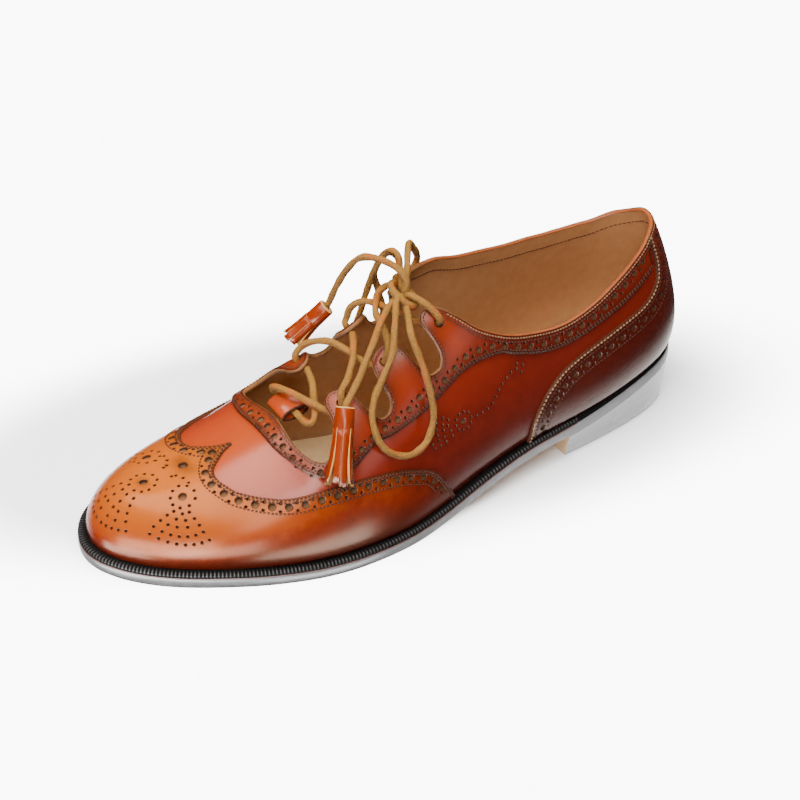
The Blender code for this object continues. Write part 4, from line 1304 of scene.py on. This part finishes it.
# %% Wax on the edges
edge_wax = Finish("edge_wax", Coat_Weight=0.2, Coat_Roughness=0.22, Coat_IOR=1.5, Specular_IOR_Level=0.15)
scuff = edge_wax.noise(260.0, 4.0, 0.6)
edge_wax.give("Base Color", edge_wax.blend(scuff, (0.15, 0.146, 0.146), (0.235, 0.23, 0.23)))
edge_wax.give("Roughness", scuff * 0.25 + 0.22)
edge_wax.relief(scuff, 0.12, 0.0004)
welt_wax = Finish("welt_wax", Specular_IOR_Level=0.01, Coat_Roughness=0.3, Coat_IOR=1.4)
grit = welt_wax.noise(900.0, 3.0, 0.6)
rib = welt_wax.attribute("shade")
# Painted highlight: the rib tips get a lighter grey base colour; the grit is the wax's own speckle
rib_highlight_and_grit = rib * rib * 0.8 + grit * 0.1
welt_wax.give("Base Color", welt_wax.blend(rib_highlight_and_grit, (0.001, 0.001, 0.001), (0.06, 0.055, 0.052)))
welt_wax.give("Coat Weight", rib * rib * 0.5)
welt_wax.give("Roughness", 0.5 - 0.15 * rib)
welt_wax.relief(grit, 0.2, 0.0003)
join_wax = Finish("join_wax", Base_Color=(0.1, 0.022, 0.012, 1), Roughness=0.4)

# %% Welt
WELT_START, RIB = 72.0, 1.72         # where the welt begins, and the pitch of its ribs


def welt_section(x, run):
    """From the crease at the upper over the ribs and down to the outsole; the third value paints the rib tips
    lighter as a highlight and keeps the ribs near the upper dark as painted shade.
    """
    z = under(x) + SOLE_THICK
    feather = table(FEATHER, x)
    wave = (0.5 + 0.5 * np.cos(2 * np.pi * run / RIB)) ** 1.5
    return [
        (feather + 2.0, z + 1.6, 0),
        (feather - 0.4, z + 2.2, 0),
        (feather * 0.72, z + 2.15 + 0.15 * wave, 0.1 * wave),
        (feather * 0.45, z + 2.2 + 0.35 * wave, 0.4 * wave),
        (0.9, z + 2.05 + 0.5 * wave, wave),
        (0.35 - 0.15 * wave, z + 1.5 + 0.35 * wave, wave),
        (0.15, z + 0.7, 0.5 * wave),
        (0.3, z + 0.05, 0)]


welt = edge_loft("welt_ribbed", WELT_START, RIB / 5, welt_section, welt_wax, "welt")
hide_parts("welt")

# %% Outsole edge and heel seat
HEEL_LENGTH, EDGE_STEP = 76.6, 2.0


def sole_section(x, run):
    """Rounded edge; over the heel its lower corner stays sharp, so that sole and heel read as one."""
    z = under(x)
    ahead = np.clip((x - HEEL_LENGTH) / 4, 0, 1)
    top = [(6.0, 5.5), (0.7, 5.5), (0.3, 5.25), (0.05, 4.4), (0.0, 2.8)]
    low = [(0.1, 1.2), (0.45, 0.35), (1.0, 0.0), (6.0, 0.0)]
    rows = [(inset, z + high, 0) for inset, high in top]
    return rows + [(inset * ahead, z + high, 0) for inset, high in low]


def join_section(x, run):
    """The thin line where the welt meets the outsole."""
    rows = [(0.45, 5.75), (0.0, 5.65), (0.0, 5.45), (0.45, 5.3)]
    return [(inset, under(x) + high, 0) for inset, high in rows]


def seat_section(x, run):
    """A thin black bead between the upper and the heel seat; further forward it hides in the welt."""
    z = under(x) + SOLE_THICK
    hide = np.clip((x - WELT_START) / 3, 0, 1)
    rows = [(1.9, 1.5), (0.5, 1.25), (0.1, 0.8), (0.1, 0.3), (0.5, -0.05)]
    return [(inset + 1.2 * hide, z + high, 0) for inset, high in rows]


sole_edge = edge_loft("outsole_edge", 0, EDGE_STEP, sole_section, edge_wax, "outsole")
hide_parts("outsole")
edge_loft("sole_join", WELT_START, EDGE_STEP, join_section, join_wax, "outsole")
edge_loft("seat_bead", 0, EDGE_STEP, seat_section, welt_wax, "outsole")

# %% Plates between the two edges
PLATE_ROWS = 9
plate_u = np.linspace(0, float(station_u(LENGTH)), 90)
plate_x = station_x(plate_u)


def plate(name, inset, height, finish, slot, up=True, crown=0.0):
    """A plate between both sides of the outline, with an even height or a little crown."""
    a, b = outline(plate_u, 1, inset)[0], outline(plate_u, -1, inset)[0]
    points = []
    for t in np.linspace(0, 1, PLATE_ROWS):
        xy = a + (b - a) * t
        points.append(np.column_stack([xy[0], xy[1], height + crown * 4 * t * (1 - t)]))
    faces = net(PLATE_ROWS, len(plate_u), flip=up)
    return piece(name, np.vstack(points), faces, [finish], None, None, slot)


sole_leather = raw("sole_leather", (0.42, 0.24, 0.12), (0.3, 0.15, 0.07), 160.0, 0.45)
plate("outsole_bottom", 1.0, under(plate_x), sole_leather, "outsole", up=False)
plate("outsole_top", 0.8, under(plate_x) + SOLE_THICK, edge_wax, "outsole")
sock = plate("insole_sock", table(FEATHER, plate_x) + 2.9, under(plate_x) + SOLE_THICK + 3.3,
             sock_calf, "insole", crown=0.6)
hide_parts("insole")

# %% [markdown]
# ## The heel
# The heel is built from leather lifts nailed on each other, then trimmed, dyed and waxed as one block, so
# only fine joints show. Rings of the outline are stacked from the sole down, with a slight step at each
# joint, and the heel gets narrower towards the ground. The rubber top piece below it is made the same way.

# %% Heel finishes
heel_wax = Finish("heel_wax", Coat_Weight=1.0, Coat_Roughness=0.1, Coat_IOR=1.7, Specular_IOR_Level=0.9)
smear = heel_wax.noise(90.0, 3.0, 0.55)
heel_wax.give("Base Color", heel_wax.blend(smear, (0.03, 0.033, 0.035), (0.065, 0.07, 0.073)))
heel_wax.give("Roughness", smear * 0.2 + 0.2)
heel_wax.relief(smear, 0.06, 0.0005)
top_rubber = raw("top_rubber", (0.03, 0.028, 0.026), (0.014, 0.013, 0.012), 500.0, 0.6)
breast_leather = raw("breast_leather", (0.5, 0.36, 0.22), (0.36, 0.22, 0.12), 300.0, 0.6)


# %% Heel
TOP_PIECE, HEEL_TAPER, LIFTS, LAP = 6.0, 2.6, 4, 0.15
heel_u = np.linspace(0, float(station_u(HEEL_LENGTH)), 40)
heel_under = under(station_x(heel_u))


def heel_block(name, levels, finishes, slot):
    """Rings round the heel at each level's height and inset, closed by the breast and the lower end."""
    rows = []
    for z, inset in levels:
        grow = inset + HEEL_TAPER * (1 - z / np.maximum(heel_under, 1))
        outer, inner = outline(heel_u, 1, grow)[0], outline(heel_u, -1, grow)[0]
        ring = np.hstack([outer[:, ::-1], inner[:, 1:]]).T
        rows.append(np.column_stack([ring, np.concatenate([z[::-1], z[1:]])]))
    n, count = len(rows), len(rows[0])
    # The breast and the lower end get their own points, so that their corners stay crisp
    breast = np.vstack([[row[0], row[-1]] for row in rows])
    breast_first = n * count
    low_first = breast_first + len(breast)
    faces = net(n, count)
    kinds = [0] * len(faces) + [1] * (n - 1)
    faces += net(n, 2, breast_first, flip=True)
    for k in range(len(heel_u) - 1):
        a, b = low_first + k, low_first + count - 1 - k
        faces.append((a + 1, b - 1, b, a) if b - 1 > a + 1 else (a + 1, b, a))
        kinds.append(2 if len(finishes) > 2 else 0)
    return piece(name, np.vstack([*rows, breast, rows[-1]]), faces, finishes, None, kinds, slot)


lifts = []
for lift in range(LIFTS):
    for share, inset in ((0.0, 0.02), (0.1, 0), (0.9, 0), (1.0, 0.02)):
        t = (lift + share) / LIFTS
        lifts.append((heel_under * (1 - t) + (TOP_PIECE + LAP) * t, inset))
heel_stack = heel_block("heel_lifts", lifts, [heel_wax, breast_leather], "heel_stack")
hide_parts("heel_stack")
# Height, inset
RUBBER = [(TOP_PIECE + LAP, 0.03), (5.9, 0), (5.4, 0), (0.9, 0), (0.3, 0.25), (0.0, 0.8)]
top_levels = [(np.full(len(heel_u), height), inset) for height, inset in RUBBER]
top_piece = heel_block("heel_rubber", top_levels, [heel_wax, breast_leather, top_rubber], "heel_top_piece")
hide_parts("heel_top_piece")

# %% [markdown]
# ## Strap, lace and tassels
# A small folded strap at the front of the throat holds the lace. The lace itself is a thong of oil-tanned
# leather: raw and golden on its cut sides, smooth and orange on its grain side. It is a rounded square
# carried along the route, turning slowly as it goes, and a stored value marks the grain side.

# %% Strap
STRAP = dict(centre=(204.9, -0.4, 59.9), along=7.0, up=3.3, width=14.0, tilt=0.12)


def folded_strap():
    """An oval sleeve across the throat with rounded cut ends."""
    cx, cy, cz = STRAP["centre"]
    count = 48
    angle = np.linspace(0, 2 * np.pi, count, endpoint=False)
    half, tilt = STRAP["width"] / 2, STRAP["tilt"]
    # Place across the strap and depth in its wall, round the section of the leather
    profile = [
        (-half + 0.5, 0.0), (-half, 0.4), (-half, 1.1), (-half + 0.5, 1.5),
        (half - 0.5, 1.5), (half, 1.1), (half, 0.4), (half - 0.5, 0.0)]
    rows = []
    for y, wall in profile:
        a = np.cos(angle) * (STRAP["along"] - wall)
        b = np.sin(angle) * (STRAP["up"] - wall)
        x = cx + a * math.cos(tilt) + b * math.sin(tilt)
        z = cz - a * math.sin(tilt) + b * math.cos(tilt)
        rows.append(np.column_stack([x, np.full(count, cy + y), z]))
    faces, kinds = [], []
    n = len(rows)
    for i in range(n):
        low, high = i * count, (i + 1) % n * count
        for k in range(count):
            after = (k + 1) % count
            faces.append((low + k, high + k, high + after, low + after))
            kinds.append(0 if i in (3, 7) else 1)
    return piece("throat_strap", np.vstack(rows), faces, [quarter_calf, cut_edge], None, kinds,
                 "front_lace_loop", rim=np.zeros(n * count), rise=np.full(n * count, 0.9))


strap = folded_strap()
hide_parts("front_lace_loop")

# %% [markdown]
# ## The lace
# Pull-up leather goes pale where it bends and stays orange where its grain is whole. A patchy noise mixes
# both on the grain side, and a rough nap covers the cut sides. Each length is one closed mesh along its
# route.

# %% Lace finish
thong = Finish("lace_thong", Specular_IOR_Level=0.05)
nap = thong.noise(1100.0, 5.0, 0.75)
patch = thong.noise(160.0, 3.0, 0.6)
flesh = thong.blend(nap, (0.045, 0.016, 0.003), (0.38, 0.18, 0.035))
grain_side = thong.blend(patch, (0.22, 0.045, 0.006), (0.36, 0.1, 0.014))
side_mask = thong.attribute("grain") * thong.node(
    "ShaderNodeMapRange", {"clamp": True}, {0: patch, 1: 0.42, 2: 0.6, 3: 0.0, 4: 1.0})
thong.give("Base Color", thong.blend(side_mask, flesh, grain_side))
thong.give("Roughness", 0.85 - 0.35 * side_mask)
thong.relief(nap, 0.8, 0.0009)

# %% Lace
LACE_RADIUS = 1.6
LACE_SIDES, SQUARENESS = 16, 3.2     # a power of 2 would be round, and a high one square


def running_frames(path):
    """Directions along a path and one across it that turns as little as it can."""
    t = np.gradient(path, axis=0)
    t /= np.linalg.norm(t, axis=1, keepdims=True)
    a = np.cross(t[0], (0.3, 0.2, 0.93))
    frames = []
    for d in t:
        a = a - d * (a @ d)
        a /= np.linalg.norm(a)
        frames.append((d, a, np.cross(d, a)))
    return frames


def lace(name, route, radius=LACE_RADIUS, step=0.9, twist=0.09):
    """A rounded square thong along a route, closed at both ends."""
    path = curve_through(route, step)
    cap = np.arange(LACE_SIDES)
    angle = 2 * np.pi * cap / LACE_SIDES
    corners = np.abs(np.cos(angle)) ** SQUARENESS + np.abs(np.sin(angle)) ** SQUARENESS
    square = 1 / corners ** (1 / SQUARENESS)
    points, grain = [], []
    for i, (d, a, b) in enumerate(running_frames(path)):
        turn = 0.6 + twist * i + 0.8 * math.sin(i * 0.05)
        lump = 1 + 0.05 * math.sin(i * 0.61) + 0.04 * math.sin(i * 0.23 + 1)
        ring = np.outer(np.cos(angle + turn), a) + np.outer(np.sin(angle + turn), b)
        points.append(path[i] + ring * (square * radius * 0.92 * lump)[:, None])
        grain.append(np.clip(1.6 * np.cos(angle - np.pi / 2) - 0.6, 0, 1))
    faces = net(len(path), LACE_SIDES, closed=True)
    faces += [cap[::-1], (len(path) - 1) * LACE_SIDES + cap]
    made = piece(name, np.vstack(points), faces, [thong], None, None, "lace", grain=np.concatenate(grain))
    return made, path


TO_KNOT = [(148.6, 6.6, 103.2), (146.2, 12.2, 103.6)]
FROM_KNOT = [(146.4, 4.8, 106.6), (148.2, 6.2, 103.0)]
crossings, _ = lace("lace_over_instep", TO_KNOT + CROSSINGS + FROM_KNOT)
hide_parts("lace_crossings")
free_laces = {}
for name, node, route in (
        ("bow_outer", "bow_loop_outer", BOW_OUTER), ("bow_inner", "bow_loop_inner", BOW_INNER),
        ("end_outer", "lace_end_outer", END_OUTER), ("end_inner", "lace_end_inner", END_INNER)):
    made, path = lace(name, route)
    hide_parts(node)
    free_laces[name] = (made, path)

# %% Knot
knot_wrap, _ = lace("knot_wrap", KNOT_WRAP, radius=1.8)
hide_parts("lace_knot")

# %% [markdown]
# ## Tassels
# A tassel is a strip of calf cut into a fringe and rolled round the end of the lace. The head is one tube
# with a slight spiral, and below it nine strips fan out, each bent and turned a little by its own number.

# %% Tassels
# Node, top of the head, tip of the strips, direction across
TASSELS = [
    ("tassel_outer", (193.6, 31.2, 74.4), (207.6, 47.4, 48.2), (0.86, -0.5, 0.15)),
    ("tassel_inner", (169.4, -25.4, 85.4), (185.2, -30.0, 70.8), (0.2, 0.95, 0.2))]
HEAD, STRIPS, STRIP_STEPS = 10.0, 9, 7
# Rings of the head: how far down, half width, half thickness
HEAD_RINGS = [
    (0.6, 2.2, 2.0), (-0.1, 2.5, 2.3), (0.0, 3.8, 3.4), (0.5, 4.2, 3.8), (HEAD - 0.8, 4.4, 3.9),
    (HEAD, 4.2, 3.7), (HEAD + 0.3, 3.4, 3.0)]
# Section of a strip: shares of its half width and half thickness
STRIP = [(-1, -0.8), (-0.85, -1), (0.85, -1), (1, -0.8), (1, 0.7), (0.8, 1), (-0.8, 1), (-1, 0.7)]
tassel_calf = calf("tassel_calf", [(0.0, (0.1, 0.008, 0.001)), (1.0, (0.2, 0.022, 0.002))], 0.32, coat=0.25)
tassel_edge = raw("tassel_edge", (0.5, 0.27, 0.09), (0.34, 0.16, 0.045), 1300.0)


def tassel(node, top, tip, across):
    """A rolled band round the lace end, with cut strips fanning out below it."""
    axis = unit(np.subtract(tip, top))
    length = np.linalg.norm(np.subtract(tip, top))
    side = unit(np.array(across) - axis * np.dot(across, axis))
    deep = np.cross(axis, side)
    top = np.array(top)
    points, faces, kinds = [], [], []

    def add(rings, kind):
        """Rings of points, with a finish for each face from its ring and its place in the ring."""
        n = len(rings[0])
        faces.extend(net(len(rings), n, len(points), closed=True))
        kinds.extend(kind(i, j) for i in range(len(rings) - 1) for j in range(n))
        for ring in rings:
            points.extend(ring)

    # Head: a spiral of leather, so its wall and its overlap show at the top
    angle = np.linspace(0, 2 * np.pi, 40, endpoint=False)
    spiral = 1 + 0.06 * (angle / (2 * np.pi))
    head = []
    for down, wide, thick in HEAD_RINGS:
        head.append([top + axis * down + (side * math.cos(a) * wide + deep * math.sin(a) * thick) * q
                     for a, q in zip(angle, spiral)])
    add(head, lambda i, j: 1 if i in (0, 1, 2) else 0)
    # Strips: flat on the outside, pale on their cut sides
    cap = np.arange(len(STRIP))
    for i in range(STRIPS):
        a = 2 * np.pi * (i + 0.3) / STRIPS
        out = side * math.cos(a) * 1.0 + deep * math.sin(a) * 0.9
        along = -side * math.sin(a) + deep * math.cos(a)
        reach = length - HEAD + 0.9 * math.sin(2.3 * i)
        spread = 1.7 + 0.8 * math.sin(1.7 * i)
        rings = []
        for t in np.linspace(0, 1, STRIP_STEPS):
            centre = top + axis * (HEAD - 0.8 + (reach + 0.8) * t) + out * (3.95 + spread * t * t)
            centre = centre + along * (0.5 * math.sin(1.3 * i + 2.0 * t) * t)
            wide, thick = 1.42 + 0.1 * t, 0.6
            rings.append([centre + along * x * wide + out * y * thick for x, y in STRIP])
        first = len(points)
        add(rings, lambda i, j: 0 if j in (4, 5, 6) else 1)
        faces.append(first + cap[::-1])
        faces.append(len(points) - len(STRIP) + cap)
        kinds.extend([1, 1])
    made = piece(node + "_leather", np.array(points), faces, [tassel_calf, tassel_edge], None, kinds,
                 "tassel", rim=np.zeros(len(points)), rise=np.full(len(points), 0.6))
    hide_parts(node)
    return made


tassels = {row[0]: tassel(*row) for row in TASSELS}

# %% [markdown]
# ## Laces that hang free
# Both bows leave the knot and go back into it, and both ends hang from it with a tassel on each.

# %% Which laces hang free
for name, far, hung in (
        ("bow_outer", "object", []), ("bow_inner", "object", []),
        ("end_outer", "fitting", [tassels["tassel_outer"]]),
        ("end_inner", "fitting", [tassels["tassel_inner"]])):
    made, path = free_laces[name]

# %% [markdown]
# ## Sizes
# The dressed shoe has to keep the size of the plain one, so both boxes are printed.

# %% Sizes and the end
bpy.context.view_layer.update()
visual_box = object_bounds()
for label, box in (("cad", cad_box), ("visual", visual_box)):
    print(label, [[round(c, 4) for c in v] for v in box])
